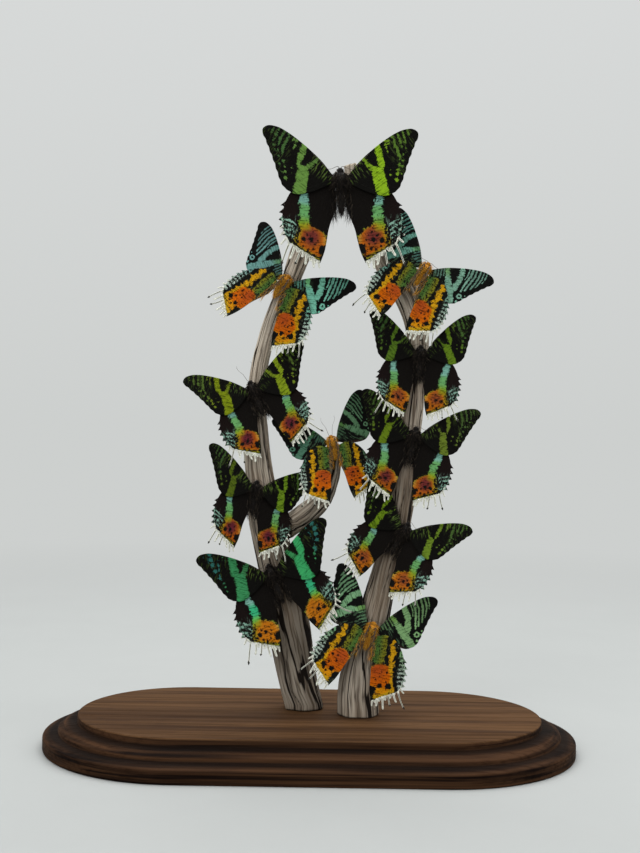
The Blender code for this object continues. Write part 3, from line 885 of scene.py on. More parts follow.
def forewing_values(tint, grow, emerald):
    """A function that gives the forewing's stored values."""
    tint = np.array(tint)
    inner = tint * 0.62 + np.array([0.012, 0.02, 0.006])
    outer = np.array([0.02, 0.10, 0.085]) if emerald else tint * 0.28 + np.array([0.012, 0.034, 0.014])

    def values(x, y, seed):
        sx, sy = drifted(x, y, seed)
        band = stroke_depth(sx, sy, FOREWING_BAND) + grow
        bars = np.maximum(stroke_depth(sx, sy, FOREWING_BARS), spot_depth(sx, sy, FOREWING_SPOTS))
        if emerald:
            bars = np.maximum(bars - 0.012, spot_depth(sx, sy, TEAL_SPOTS))
        dim = fade(-stroke_depth(sx, sy, FOREWING_BAND[:1] + FOREWING_BAND[2:]), -0.01, 0.05)
        fleck = 0.85 * fade(-y, -0.17, -0.05) * fade(-x, -0.36, -0.26) + 0.25 * fade(x, 0.5, 0.6)
        under = stroke_depth(sx, sy, UNDER_BAND[:2]) + grow * 0.5
        stripes = np.maximum(stroke_depth(sx, sy, UNDER_BAND[2:]), spot_depth(sx, sy, UNDER_SPOTS))
        brown = fade(y - x * 1.35, 0.10, 0.20) * fade(-x, -0.30, -0.2)
        return {
            "wing": np.column_stack([x, y, np.full(len(x), seed * 3.1)]),
            "up_mark": band,
            "up_bar": bars,
            "up_dark": UNMARKED,
            "up_tint": layered(tint, (inner, dim), (outer, fade(x + y * 0.35, 0.60, 0.68))),
            "up_speck": UNMARKED,
            "up_ground": (0.0040, 0.0038, 0.0032),
            "up_fleck": fleck * fade(-band, 0.0, 0.02),
            "under_mark": np.where(brown > 0.3, UNMARKED, under),
            "under_bar": np.where(brown > 0.3, UNMARKED, stripes),
            "under_dark": spot_depth(sx, sy, UNDER_EYES),
            "under_tint": layered(
                tint * (0.75, 0.80, 0.45), (tint, fade(y, 0.0, 0.13)), (tint, fade(x, 0.36, 0.42)),
                (tint * 0.42, fade(-x, -0.23, -0.20)), (tint * 0.62, fade(x, 0.54, 0.62)),
            ),
            "under_speck": UNMARKED,
            "under_ground": blend((0.0045, 0.0048, 0.0042), (0.04, 0.022, 0.016), brown),
            "under_fleck": 0.5 * fade(-x, -0.36, -0.2) * (1 - brown),
            "vein": line_gap(x, y, FOREWING_VEINS),
            "rim": UNMARKED,
        }

    return values


def hindwing_values(tint, blush, emerald, outer):
    """A function that gives the hindwing's stored values."""
    margin = [tuple(map(tuple, hind_margin(outer)[::4]))]
    green = (0.035, 0.36, 0.17) if emerald else (0.11, 0.29, 0.10)
    lime = (0.12, 0.36, 0.05) if emerald else (0.14, 0.25, 0.022)

    def upper(x, y, sx, sy):
        """Values of the upper side."""
        band = stroke_depth(sx, sy, HIND_BAND)
        patch = patch_depth(sx, sy, HIND_PATCH)
        pale = stroke_depth(sx, sy, HIND_PALE)
        rose = fade(-np.hypot(sx - 0.25, (sy - 0.62) * 0.9), -0.15, -0.04) * blush
        shore = fade(-sx, -0.13, -0.08) * fade(sy, 0.54, 0.60) * fade(-sy, -0.72, -0.66)
        outward = sx - (sy - 0.6) * 0.2
        orange = layered(
            blend((0.58, 0.19, 0.007), (0.44, 0.10, 0.006), blush),
            ((0.135, 0.020, 0.030), rose),
            ((0.55, 0.26, 0.04), shore * 0.9),
            ((0.26, 0.23, 0.016), fade(sy + (sx - 0.2) * 0.45, 0.80, 0.85)),
            ((0.36, 0.25, 0.012), fade(outward, 0.34, 0.40)),
            ((0.34, 0.30, 0.014), fade(-sy, -0.58, -0.50) * fade(sx, 0.24, 0.32)),
        )
        dark = np.maximum(stroke_depth(sx, sy, HIND_DARK_LINES), spot_depth(sx, sy, HIND_DARK_SPOTS))
        checks = fade(outward, 0.36, 0.40) * fade(sy, 0.48, 0.52)
        return {
            "up_mark": np.maximum(band, patch),
            "up_bar": pale,
            "up_dark": np.where(patch > -0.02, dark, UNMARKED) - 0.002,
            "up_tint": layered(
                (0.16, 0.35, 0.29), (green, fade(sy, 0.20, 0.27)), (lime, fade(sy, 0.36, 0.47)),
                (orange * (0.74 - 0.06 * blush), fade(patch, -0.035, 0.020)),
                ((0.17, 0.30, 0.235), fade(np.where(patch > 0, UNMARKED, pale), -0.03, -0.01)),
            ),
            "up_speck": np.maximum(checks * 0.95, fade(patch, 0.0, 0.02) * 0.12) - 0.15,
            "up_ground": blend((0.0052, 0.0042, 0.0036), (0.008, 0.005, 0.0045), fade(x, 0.38, 0.46)),
            "up_fleck": 0.5 * fade(x, 0.36, 0.44) * fade(y, 0.36, 0.46),
        }

    def under(x, sx, sy, seed):
        """Values of the underside."""
        gold = stroke_depth(sx, sy, UNDER_GOLD)
        frayed = np.sin(sy * 54 + seed + sx * 9) * np.sin(sx * 34 + sy * 11 + seed * 2)
        gold += frayed * 0.030 * fade(-sy, -0.66, -0.56)
        orange = patch_depth(sx, sy, UNDER_ORANGE) + np.sin(sy * 31 + sx * 17 + seed) * 0.010
        pale = patch_depth(sx, sy, UNDER_PALE)
        olive = patch_depth(sx, sy, UNDER_OLIVE) + np.sin(sy * 48 + seed) * 0.010
        bright = np.maximum(gold, orange)
        red = 0.8 * fade(-np.hypot(sx - 0.14, (sy - 0.44) * 0.8), -0.22, -0.01)
        shore = blend(np.array(tint) * 0.95, (0.36, 0.44, 0.38), fade(sy, 0.15, 0.5))
        moss = blend((0.05, 0.105, 0.022), (0.145, 0.14, 0.012), fade(sx, 0.08, 0.18))
        mossy = fade(olive - bright, -0.02, 0.0)
        chips = fade(pale - bright, -0.01, 0.0)
        return {
            "under_mark": np.maximum(bright, np.maximum(pale, olive)),
            "under_bar": UNMARKED,
            "under_dark": np.maximum(
                stroke_depth(sx, sy, UNDER_DARK_LINES), spot_depth(sx, sy, UNDER_DARK_SPOTS),
            ),
            "under_tint": layered(
                (0.46, 0.235, 0.006),
                ((0.43, 0.088, 0.002), fade(orange, -0.012, 0.02)),
                ((0.36, 0.23, 0.012), fade(sy + (sx - 0.2) * 0.5, 0.80, 0.86)),
                ((0.27, 0.042, 0.010), red * fade(orange, -0.01, 0.01)),
                ((0.50, 0.20, 0.004), fade(sy, 0.66, 0.74) * fade(orange, -0.012, 0.02)),
                (shore, fade(pale - bright, -0.006, 0.006)),
                (moss, fade(olive - bright, -0.006, 0.006)),
            ),
            "under_speck": np.maximum(mossy * 0.50, chips * 0.45) - 0.1,
            "under_ground": blend((0.0055, 0.0055, 0.0045), (0.07, 0.05, 0.03), fade(-x, -0.055, -0.03)),
            "under_fleck": 0.2,
        }

    def values(x, y, seed):
        sx, sy = drifted(x, y, seed)
        return {
            "wing": np.column_stack([x, y, np.full(len(x), seed * 3.1)]),
            **upper(x, y, sx, sy), **under(x, sx, sy, seed),
            "vein": line_gap(x, y, HINDWING_VEINS),
            "rim": 0.011 * fade(y, 0.50, 0.68) - 0.003 - line_gap(x, y, margin),
        }

    return values


# ---------------------------------------------------------------- strands

def strand_mesh(name, roots, ways, bends, lengths, widths, shades):
    """Many three-sided hairs as one mesh, each curving from its way towards its bend."""
    count = len(roots)
    prototype = bmesh.new()
    bmesh.ops.create_cone(prototype, cap_ends=True, segments=3, radius1=1.0, radius2=0.55, depth=0.5)
    lid = [face for face in prototype.faces if face.calc_center_median().z > 0.2]
    bmesh.ops.poke(prototype, faces=lid)
    for corner in prototype.verts:
        if corner.co.z > 0.2 and math.hypot(corner.co.x, corner.co.y) < 0.1:
            corner.co.z = 0.75
    bmesh.ops.translate(prototype, verts=prototype.verts, vec=(0, 0, 0.25))
    bmesh.ops.triangulate(prototype, faces=prototype.faces)
    prototype.verts.index_update()
    local = np.array([corner.co[:] for corner in prototype.verts])
    faces = np.array([[corner.index for corner in face.verts] for face in prototype.faces])
    prototype.free()
    s = local[:, 2][None, :, None]
    aside = np.cross(ways, bends + np.array([0.013, 0.021, 0.017]))
    aside /= np.linalg.norm(aside, axis=1, keepdims=True) + 1e-9
    other = np.cross(ways, aside)
    points = roots[:, None] + ways[:, None] * lengths[:, None, None] * s
    points = points + bends[:, None] * lengths[:, None, None] * s ** 2
    points = points + widths[:, None, None] * (
        aside[:, None] * local[None, :, :1] + other[:, None] * local[None, :, 1:2]
    )
    triangles = (faces[None] + (np.arange(count) * len(local))[:, None, None]).reshape(-1, 3)
    data = bpy.data.meshes.new(name)
    data.from_pydata(points.reshape(-1, 3).tolist(), [], triangles.tolist())
    add_values(data, "reach", np.tile(local[:, 2], count))
    add_values(data, "shade", np.repeat(shades, len(local)))
    return data


def joined(name, parts, *finishes):
    """Several meshes as one object, through a bmesh."""
    mesh = bmesh.new()
    for part in parts:
        mesh.from_mesh(part)
        bpy.data.meshes.remove(part)
    return new_object(name, mesh, *finishes)


# ---------------------------------------------------------------- settings

class WingSettings(bpy.types.PropertyGroup):
    """Settings of the wings"""

    thickness: FloatProperty(
        name="Wing thickness", description="Thickness of a wing with its scales",
        default=0.00028, min=0.0001, unit="LENGTH", precision=5,
    )
    fringe: IntProperty(
        name="Fringe hairs", description="White hairs along each hindwing's margin", default=130, min=0,
    )
    upper_fleck: FloatVectorProperty(
        name="Upper flecks", description="Colour of the fine flecks on the forewing's upper side",
        default=(0.07, 0.11, 0.022), subtype="COLOR", size=3,
    )
    under_fleck: FloatVectorProperty(
        name="Under flecks", description="Colour of the fine flecks on the forewing's underside",
        default=(0.07, 0.13, 0.07), subtype="COLOR", size=3,
    )


class BodySettings(bpy.types.PropertyGroup):
    """Settings of the bodies"""

    hairs: IntProperty(name="Hairs", description="Hairs on each moth's body", default=1500, min=0)
    hair_width: FloatProperty(
        name="Hair width", description="Radius of a hair at its root",
        default=0.00011, unit="LENGTH", precision=5,
    )
    sides: IntProperty(name="Sides", description="Steps round each body", default=24, min=8)
    dark_hair: FloatVectorProperty(
        name="Dark hair", description="Hair of the moths that show their backs",
        default=(0.014, 0.010, 0.0075), subtype="COLOR", size=3,
    )
    tan_hair: FloatVectorProperty(
        name="Tan hair", description="Hair of the moths that show their bellies",
        default=(0.74, 0.36, 0.03), subtype="COLOR", size=3,
    )


class WoodSettings(bpy.types.PropertyGroup):
    """Settings of the driftwood"""

    level: IntProperty(name="Detail", description="Subdivisions of the wood", default=3, min=1, max=4)
    lumps: FloatProperty(
        name="Lumps", description="Height of the broad lumps", default=0.0007, unit="LENGTH", precision=5,
    )
    grooves: FloatProperty(
        name="Grooves", description="Depth of the grain's grooves", default=0.0005,
        unit="LENGTH", precision=5,
    )
    cracks: IntProperty(name="Cracks", description="Long cracks on each trunk", default=16, min=0)
    crack_depth: FloatProperty(
        name="Crack depth", description="Depth of the deepest crack", default=0.0014,
        unit="LENGTH", precision=5,
    )


class BoardSettings(bpy.types.PropertyGroup):
    """Settings of the board"""

    end_steps: IntProperty(name="End steps", description="Steps round each round end", default=72, min=8)
    rounding: FloatProperty(
        name="Rounding", description="Reach of each rounded corner", default=0.0011,
        unit="LENGTH", precision=5,
    )


class StageSettings(bpy.types.PropertyGroup):
    """Settings of the camera and the room"""

    eye: FloatVectorProperty(
        name="Camera place", description="Where the camera stands", default=(0.00126, -0.6719, 0.1807),
        subtype="TRANSLATION", unit="LENGTH", size=3,
    )
    yaw: FloatProperty(name="Yaw", description="Turn to the right", default=0.00257, unit="ROTATION")
    pitch: FloatProperty(name="Pitch", description="Tilt down", default=-0.0012, unit="ROTATION")
    roll: FloatProperty(name="Roll", description="Turn about the view", default=0.01717, unit="ROTATION")
    lens: FloatProperty(name="Lens", description="Focal length in millimetres", default=49.78)
    pale: FloatVectorProperty(
        name="Surroundings", description="Pale grey of the room", default=(0.61, 0.628, 0.618),
        subtype="COLOR", size=3,
    )
    pale_above: FloatVectorProperty(
        name="Surroundings above", description="Pale grey of the room, high up", default=(0.69, 0.706, 0.702),
        subtype="COLOR", size=3,
    )


class MothSettings(bpy.types.PropertyGroup):
    """All settings, piece by piece"""

    wings: PointerProperty(type=WingSettings, name="Wings", description="Wing settings")
    bodies: PointerProperty(type=BodySettings, name="Bodies", description="Body settings")
    wood: PointerProperty(type=WoodSettings, name="Driftwood", description="Driftwood settings")
    board: PointerProperty(type=BoardSettings, name="Board", description="Board settings")
    stage: PointerProperty(type=StageSettings, name="Stage", description="Stage settings")


def settings():
    """The scene's settings."""
    return bpy.context.scene.mounted_moths


# ---------------------------------------------------------------- pieces

class BuildForewings(bpy.types.Operator):
    """Adds the forewings of every moth"""

    bl_idname = "mounted_moths.forewings"
    bl_label = "Forewings"

    def execute(self, context):
        wings = settings().wings
        upper = scale_finish(
            "forewing upper scales", "up", 0.30, (62.0, 9.0, 1.0), tuple(wings.upper_fleck),
        )
        under = scale_finish(
            "forewing under scales", "under", 0.15, (50.0, 10.0, 1.0), tuple(wings.under_fleck),
        )
        for number, (_, left, right, _, grow) in LOOKS.items():
            moth = MothFrame(number)
            for label, side in SIDES:
                tint = left if side < 0 else right
                mesh = wing_sheet(FOREWING_FRONT, FOREWING_REAR, FOREWING_GRID, fore_ripple)
                name = f"{moth.name}_forewing_{label}_scales"
                made = finish_sheet(
                    name, mesh, moth.wings["forewing", label], number * 2 + side,
                    forewing_values(tint, grow, number == EMERALD_MOTH), wings.thickness, (upper, under),
                )
        return {"FINISHED"}


class BuildHindwings(bpy.types.Operator):
    """Adds the hindwings of every moth"""

    bl_idname = "mounted_moths.hindwings"
    bl_label = "Hindwings"

    def execute(self, context):
        wings = settings().wings
        upper = scale_finish(
            "hindwing upper scales", "up", 1.2, (50.0, 12.0, 1.0), (0.16, 0.26, 0.20), 1.5,
        )
        under = scale_finish(
            "hindwing under scales", "under", 1.2, (44.0, 14.0, 1.0), (0.16, 0.20, 0.12), 1.3,
        )
        for number, (shows, left, right, blush, _) in LOOKS.items():
            moth = MothFrame(number)
            for label, side in SIDES:
                outer = HINDWING_OUTER if shows == "back" else BELLY_HINDWING_OUTER
                mesh = wing_sheet(outer, HINDWING_INNER, HINDWING_GRID, hind_tooth)
                name = f"{moth.name}_hindwing_{label}_scales"
                made = finish_sheet(
                    name, mesh, moth.wings["hindwing", label], number * 2 + side + 40,
                    hindwing_values(left if side < 0 else right, blush, number == EMERALD_MOTH, outer),
                    wings.thickness, (upper, under),
                )
        return {"FINISHED"}


class BuildFringes(bpy.types.Operator):
    """Adds the tails, fingers and white fringe of every hindwing"""

    bl_idname = "mounted_moths.fringes"
    bl_label = "Fringes"

    def execute(self, context):
        finish = finger_finish()
        for number, (shows, *_rest) in LOOKS.items():
            moth = MothFrame(number)
            margin = hind_margin(HINDWING_OUTER if shows == "back" else BELLY_HINDWING_OUTER)
            for label, side in SIDES:
                wing = moth.wings["hindwing", label]
                chance = random.Random(number * 10 + side)
                name = f"{moth.name}_hindwing_{label}_fringe"
                parts = [self.fingers(name, wing, margin, chance), self.hairs(name, wing, margin, chance)]
                made = joined(name, parts, finish)
                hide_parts(f"{moth.name}_hindwing_{label}")
        return {"FINISHED"}

    def fingers(self, name, wing, margin, chance):
        """Tapering ribbons from the margin, each with a thin body."""
        mesh = bmesh.new()
        core = mesh.verts.layers.float.new("core")
        for (x, y), (dx, dy), length, half, tipped in FINGERS:
            length *= chance.uniform(0.75, 1.1)
            x, y = margin[np.hypot(margin[:, 0] - x, margin[:, 1] - y).argmin()]
            way = Vector((dx + chance.uniform(-0.12, 0.12), dy)).normalized()
            bend = chance.uniform(-0.25, 0.25) * length
            side = Vector((way.y, -way.x))
            made = bmesh.ops.create_grid(mesh, x_segments=2, y_segments=FINGER_STEPS, size=0.5)["verts"]
            for corner in made:
                across, along = corner.co.x * 2, corner.co.y + 0.5
                width = half * (1.35 - 0.45 * min(along * 2.2, 1.0))
                if tipped:
                    width += half * 0.75 * math.exp(-((along - 0.93) / 0.07) ** 2)
                width *= min(1.0, (1 - along) * 9 + 0.12)
                flat = Vector((x, y)) + way * (length * (along * 1.05 - 0.05)) + side * bend * along ** 2
                flat += side * across * width
                corner.co = (flat.x, flat.y, 0)
                tip = max(0.0, min(1.0, (along - 0.82) / 0.06)) if tipped else 0.0
                middle = (1 - abs(across)) * min(1.0, along * 6)
                middle *= 1.5 if tipped else 1.0 if along < 0.8 else 0.3
                corner[core] = max(middle, 1.3 * tip)
        data = mesh_data(name, mesh)
        flat = points_of(data)
        lift = 0.16 * np.sin(flat[:, 0] * 30 + chance.random() * 6) * MM
        set_points(data, laid(wing, flat[:, 0], flat[:, 1], lift))
        mesh = bmesh.new()
        mesh.from_mesh(data)
        bpy.data.meshes.remove(data)
        normal = Vector(wing["normal"])
        if sum(face.normal.dot(normal) for face in mesh.faces) < 0:
            bmesh.ops.reverse_faces(mesh, faces=mesh.faces)
        bmesh.ops.solidify(mesh, geom=mesh.faces[:], thickness=FINGER_THICKNESS)
        return mesh_data(name, mesh)

    def hairs(self, name, wing, margin, chance):
        """Short white hairs along the lower end of the outer margin and the lower margin."""
        rim = spline(tuple(map(tuple, margin[margin[:, 1] > 0.54][::6])), FRINGE_STEPS)
        count = settings().wings.fringe
        last = FRINGE_STEPS - 1

        def draws(low, high):
            return np.array([chance.uniform(low, high) for _ in range(count)])

        picks = [chance.random() for _ in range(count)]
        index = np.array([min(last - 1, int(pick ** 0.85 * last)) for pick in picks])
        start = rim[index]
        way = rim[index + 1] - rim[index]
        way /= np.linalg.norm(way, axis=1, keepdims=True)
        out = np.column_stack([way[:, 1], -way[:, 0]])
        out *= np.sign(((start - np.array([0.3, 0.45])) * out).sum(1))[:, None]
        flat = out + way * draws(-0.35, 0.35)[:, None]
        normal = np.array(wing["normal"])
        stray = draws(-0.15, 0.15)
        ways = np.outer(flat[:, 0], wing["out"]) + np.outer(flat[:, 1], wing["rear"])
        ways += np.outer(stray, normal)
        ways /= np.linalg.norm(ways, axis=1, keepdims=True)
        inset = draws(-0.012, 0.004)
        roots = laid(wing, start[:, 0] + out[:, 0] * inset, start[:, 1] + out[:, 1] * inset, np.zeros(count))
        lengths = draws(0.012, 0.026) * wing["length"]
        widths = draws(0.08, 0.14) * MM
        bends = np.outer(draws(-0.2, 0.2), normal)
        shades = np.array([chance.random() for _ in range(count)])
        data = strand_mesh(name, roots, ways, bends, lengths, widths, shades)
        add_values(data, "core", 0.0)
        return data


class BuildBodies(bpy.types.Operator):
    """Adds the furry bodies of the moths, with heads, eyes, antennae and legs"""

    bl_idname = "mounted_moths.bodies"
    bl_label = "Bodies"

    def execute(self, context):
        values = settings().bodies
        dark, tan = tuple(values.dark_hair), tuple(values.tan_hair)
        finishes = {
            "back": fur_finish("dark fur", (0.0045, 0.0035, 0.003), dark, (0.10, 0.078, 0.056)),
            "belly": fur_finish("tan fur", (0.34, 0.125, 0.008), tan, (0.80, 0.55, 0.10)),
        }
        horn = horn_finish()
        for number, (shows, *_rest) in LOOKS.items():
            moth = MothFrame(number)
            chance = random.Random(100 + number)
            made = joined(
                f"{moth.name}_fur", [self.trunk(moth, values.sides), self.fur(moth, chance, shows)],
                finishes[shows],
            )
            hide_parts(f"{moth.name}_body")
            limbs = new_object(f"{moth.name}_limbs", self.limbs(moth, chance, shows), horn)
        return {"FINISHED"}

    def trunk(self, moth, sides):
        """Head, thorax and ringed abdomen, spun about the body's line."""
        mesh = bmesh.new()
        rail = spline(tuple(moth.body), BODY_RINGS)
        points = []
        for along, radius in rail:
            ring = 1 - 0.06 * max(0.0, math.cos(along * 2 * math.pi / 0.048)) if along < -0.10 else 1.0
            points.append(mesh.verts.new(moth.place(max(radius, 0) * ring, along, 0)))
        for pair in zip(points, points[1:]):
            mesh.edges.new(pair)
        bmesh.ops.spin(
            mesh, geom=mesh.verts[:] + mesh.edges[:], cent=moth.place(0, 0, 0), axis=Vector(moth.forward),
            angle=2 * math.pi, steps=sides, use_merge=True,
        )
        bmesh.ops.remove_doubles(mesh, verts=mesh.verts, dist=SAME_PLACE)
        bmesh.ops.recalc_face_normals(mesh, faces=mesh.faces)
        data = mesh_data("trunk", mesh)
        add_values(data, "reach", 0.25)
        add_values(data, "shade", 0.0)
        return data

    def fur(self, moth, chance, shows):
        """Hairs that lie back along the body, tufts over the wing roots, and a mane on each hindwing."""
        count = settings().bodies.hairs
        rail = np.array(moth.body)[::-1]
        tail, brow = rail[0][0], rail[-1][0]

        def radius_at(along):
            return float(np.interp(along, rail[:, 0], rail[:, 1]))

        rows = []
        for _ in range(count):
            along = chance.uniform(tail, brow)
            radius = radius_at(along)
            if chance.random() > radius / 0.06 + 0.1:
                along = chance.uniform(-0.1, 0.13)
                radius = radius_at(along)
            angle = chance.uniform(0, 2 * math.pi)
            spoke = moth.right * math.cos(angle) + moth.up * math.sin(angle)
            spot = moth.origin + (moth.forward * along + spoke * radius * 0.95) * moth.length
            lift = chance.uniform(0.35, 0.8) if along > -0.13 else chance.uniform(0.15, 0.45)
            way = spoke * lift - moth.forward * chance.uniform(0.6, 1.0)
            if along > brow - 0.06:
                way = spoke * 0.8 + moth.forward * chance.uniform(-0.2, 0.5)
            long = 0.085 if along > -0.12 else 0.055
            if along > brow - 0.07:
                long = 0.030 if shows == "back" else 0.020
            rows.append((spot, way, -moth.forward * 0.25 - spoke * 0.22, long))
        full = shows == "back"
        for _ in range(count // 3 if full else count // 6):
            side = chance.choice((-1, 1))
            along, rise = chance.uniform(-0.05, 0.11), chance.uniform(-0.035, 0.035)
            offset = moth.right * side * 0.045 + moth.forward * along + moth.up * rise
            spot = moth.origin + offset * moth.length
            way = moth.right * side * chance.uniform(0.5, 1.0) - moth.forward * chance.uniform(0.1, 0.9)
            bend = -moth.forward * 0.3 - moth.up * rise * 8
            rows.append((spot, way + moth.up * rise * 14, bend, 0.12 if full else 0.08))
        for _ in range(count // 3 if full else count // 8):
            wing = moth.wings["hindwing", chance.choice(("left", "right"))]
            y = chance.uniform(0.0, 0.34)
            spot = laid(wing, np.array([chance.uniform(-0.03, 0.05)]), np.array([y]), np.zeros(1))[0]
            way = -wing["out"] * chance.uniform(0.05, 0.65) + wing["rear"] * chance.uniform(0.6, 1.0)
            way = way + wing["normal"] * chance.uniform(-0.25, 0.25)
            rows.append((spot, way, wing["rear"] * 0.25, 0.11 if full else 0.07))
        strands = []
        for spot, way, bend, long in rows:
            swirl = np.array([chance.uniform(-0.2, 0.2) for _ in range(3)])
            way = way + swirl
            strands.append((
                spot, way / np.linalg.norm(way), bend + swirl * 0.5,
                long * moth.length * chance.uniform(0.6, 1.25),
                settings().bodies.hair_width * chance.uniform(0.7, 1.3),
                chance.random(),
            ))
        return strand_mesh("fur", *[np.array(column) for column in zip(*strands)])

    def limbs(self, moth, chance, shows):
        """Eyes, antennae and folded legs."""
        mesh = bmesh.new()
        eye = mesh.verts.layers.float.new("eye")
        scale = moth.length
        brow_place = moth.body[0][0]
        for side in (-1, 1):
            spot = moth.place(side * 0.026, brow_place - 0.030, 0.006)
            made = bmesh.ops.create_uvsphere(
                mesh, u_segments=16, v_segments=10, radius=0.0165 * scale, matrix=Matrix.Translation(spot),
            )["verts"]
            for corner in made:
                corner[eye] = 1.0
            curl = chance.uniform(0.85, 1.15)
            brow = [
                tuple(moth.place(side * 0.012, brow_place - 0.014, 0.012)),
                tuple(moth.place(side * 0.030, brow_place + 0.012, 0.015)),
            ]
            if moth.name in RAISED_ANTENNAE:
                line = brow + [tuple(moth.place(side * out * curl, ahead, rise)) for out, ahead, rise in (
                    (0.06, 0.28, 0.030), (0.10, 0.35, 0.028), (0.12, 0.41, 0.015), (0.11, 0.45, 0.005),
                )]
            else:
                wing = moth.wings["forewing", "left" if side < 0 else "right"]
                rest = laid(
                    wing, np.array([0.10, 0.22, 0.36]), np.array([-0.015, -0.035, -0.055]),
                    np.full(3, 0.7 * MM if shows == "back" else -0.7 * MM),
                )
                line = brow + [tuple(point) for point in rest]
            radii = np.linspace(0.0034, 0.0013, ANTENNA_STEPS) * scale
            ring_tube(mesh, [Vector(point) for point in spline(line, ANTENNA_STEPS)], radii)
            for along, reach in ((0.10, 0.9), (0.045, 1.0), (-0.015, 1.15)):
                along -= 0.222 - brow_place if shows == "belly" else 0.0
                line = spline((
                    (side * 0.020, along, -0.050),
                    (side * 0.055 * reach, along + 0.045, -0.082),
                    (side * 0.062 * reach, along - 0.03, -0.088),
                    (side * 0.040 * reach, along - 0.11, -0.074),
                    (side * 0.046 * reach, along - 0.15 * reach, -0.070),
                ), 18)
                thigh, shin = np.linspace(0.0085, 0.006, 7), np.linspace(0.0055, 0.0025, 11)
                ring_tube(mesh, [moth.place(*point) for point in line], np.concatenate([thigh, shin]) * scale)
        return mesh


class BuildGlue(bpy.types.Operator):
    """Adds the dab of glue that holds each moth to the wood"""

    bl_idname = "mounted_moths.glue"
    bl_label = "Glue"

    def execute(self, context):
        finish = glue_finish()
        noise.seed_set(GLUE_SEED)
        trees = [self.surface(NODES[name].data) for name in WOODS]
        for number in LOOKS:
            moth = MothFrame(number)
            start = moth.place(0, 0.0, 0)
            hits = [tree.find_nearest(start) for tree in trees]
            goal, _, _, _ = min(hits, key=lambda hit: hit[3])
            way = (goal - start).normalized()
            goal = goal + way * 1.2 * MM
            mesh = bmesh.new()
            shares = np.linspace(0.0, 1.0, GLUE_STEPS)
            points = [start.lerp(goal, share) for share in shares]
            waist = [1.7 + 0.9 * abs(share - 0.55) ** 1.5 * 3 for share in shares]
            ring_tube(mesh, points, np.array(waist) * MM, 16)
            for corner in mesh.verts:
                corner.co += noise.noise_vector(corner.co * 700) * 0.25 * MM
            made = new_object(f"{moth.name}_glue", mesh, finish)
        return {"FINISHED"}

    def surface(self, data):
        """A search tree over a mesh's faces."""
        faces = [tuple(face.vertices) for face in data.polygons]
        return BVHTree.FromPolygons([corner.co for corner in data.vertices], faces)


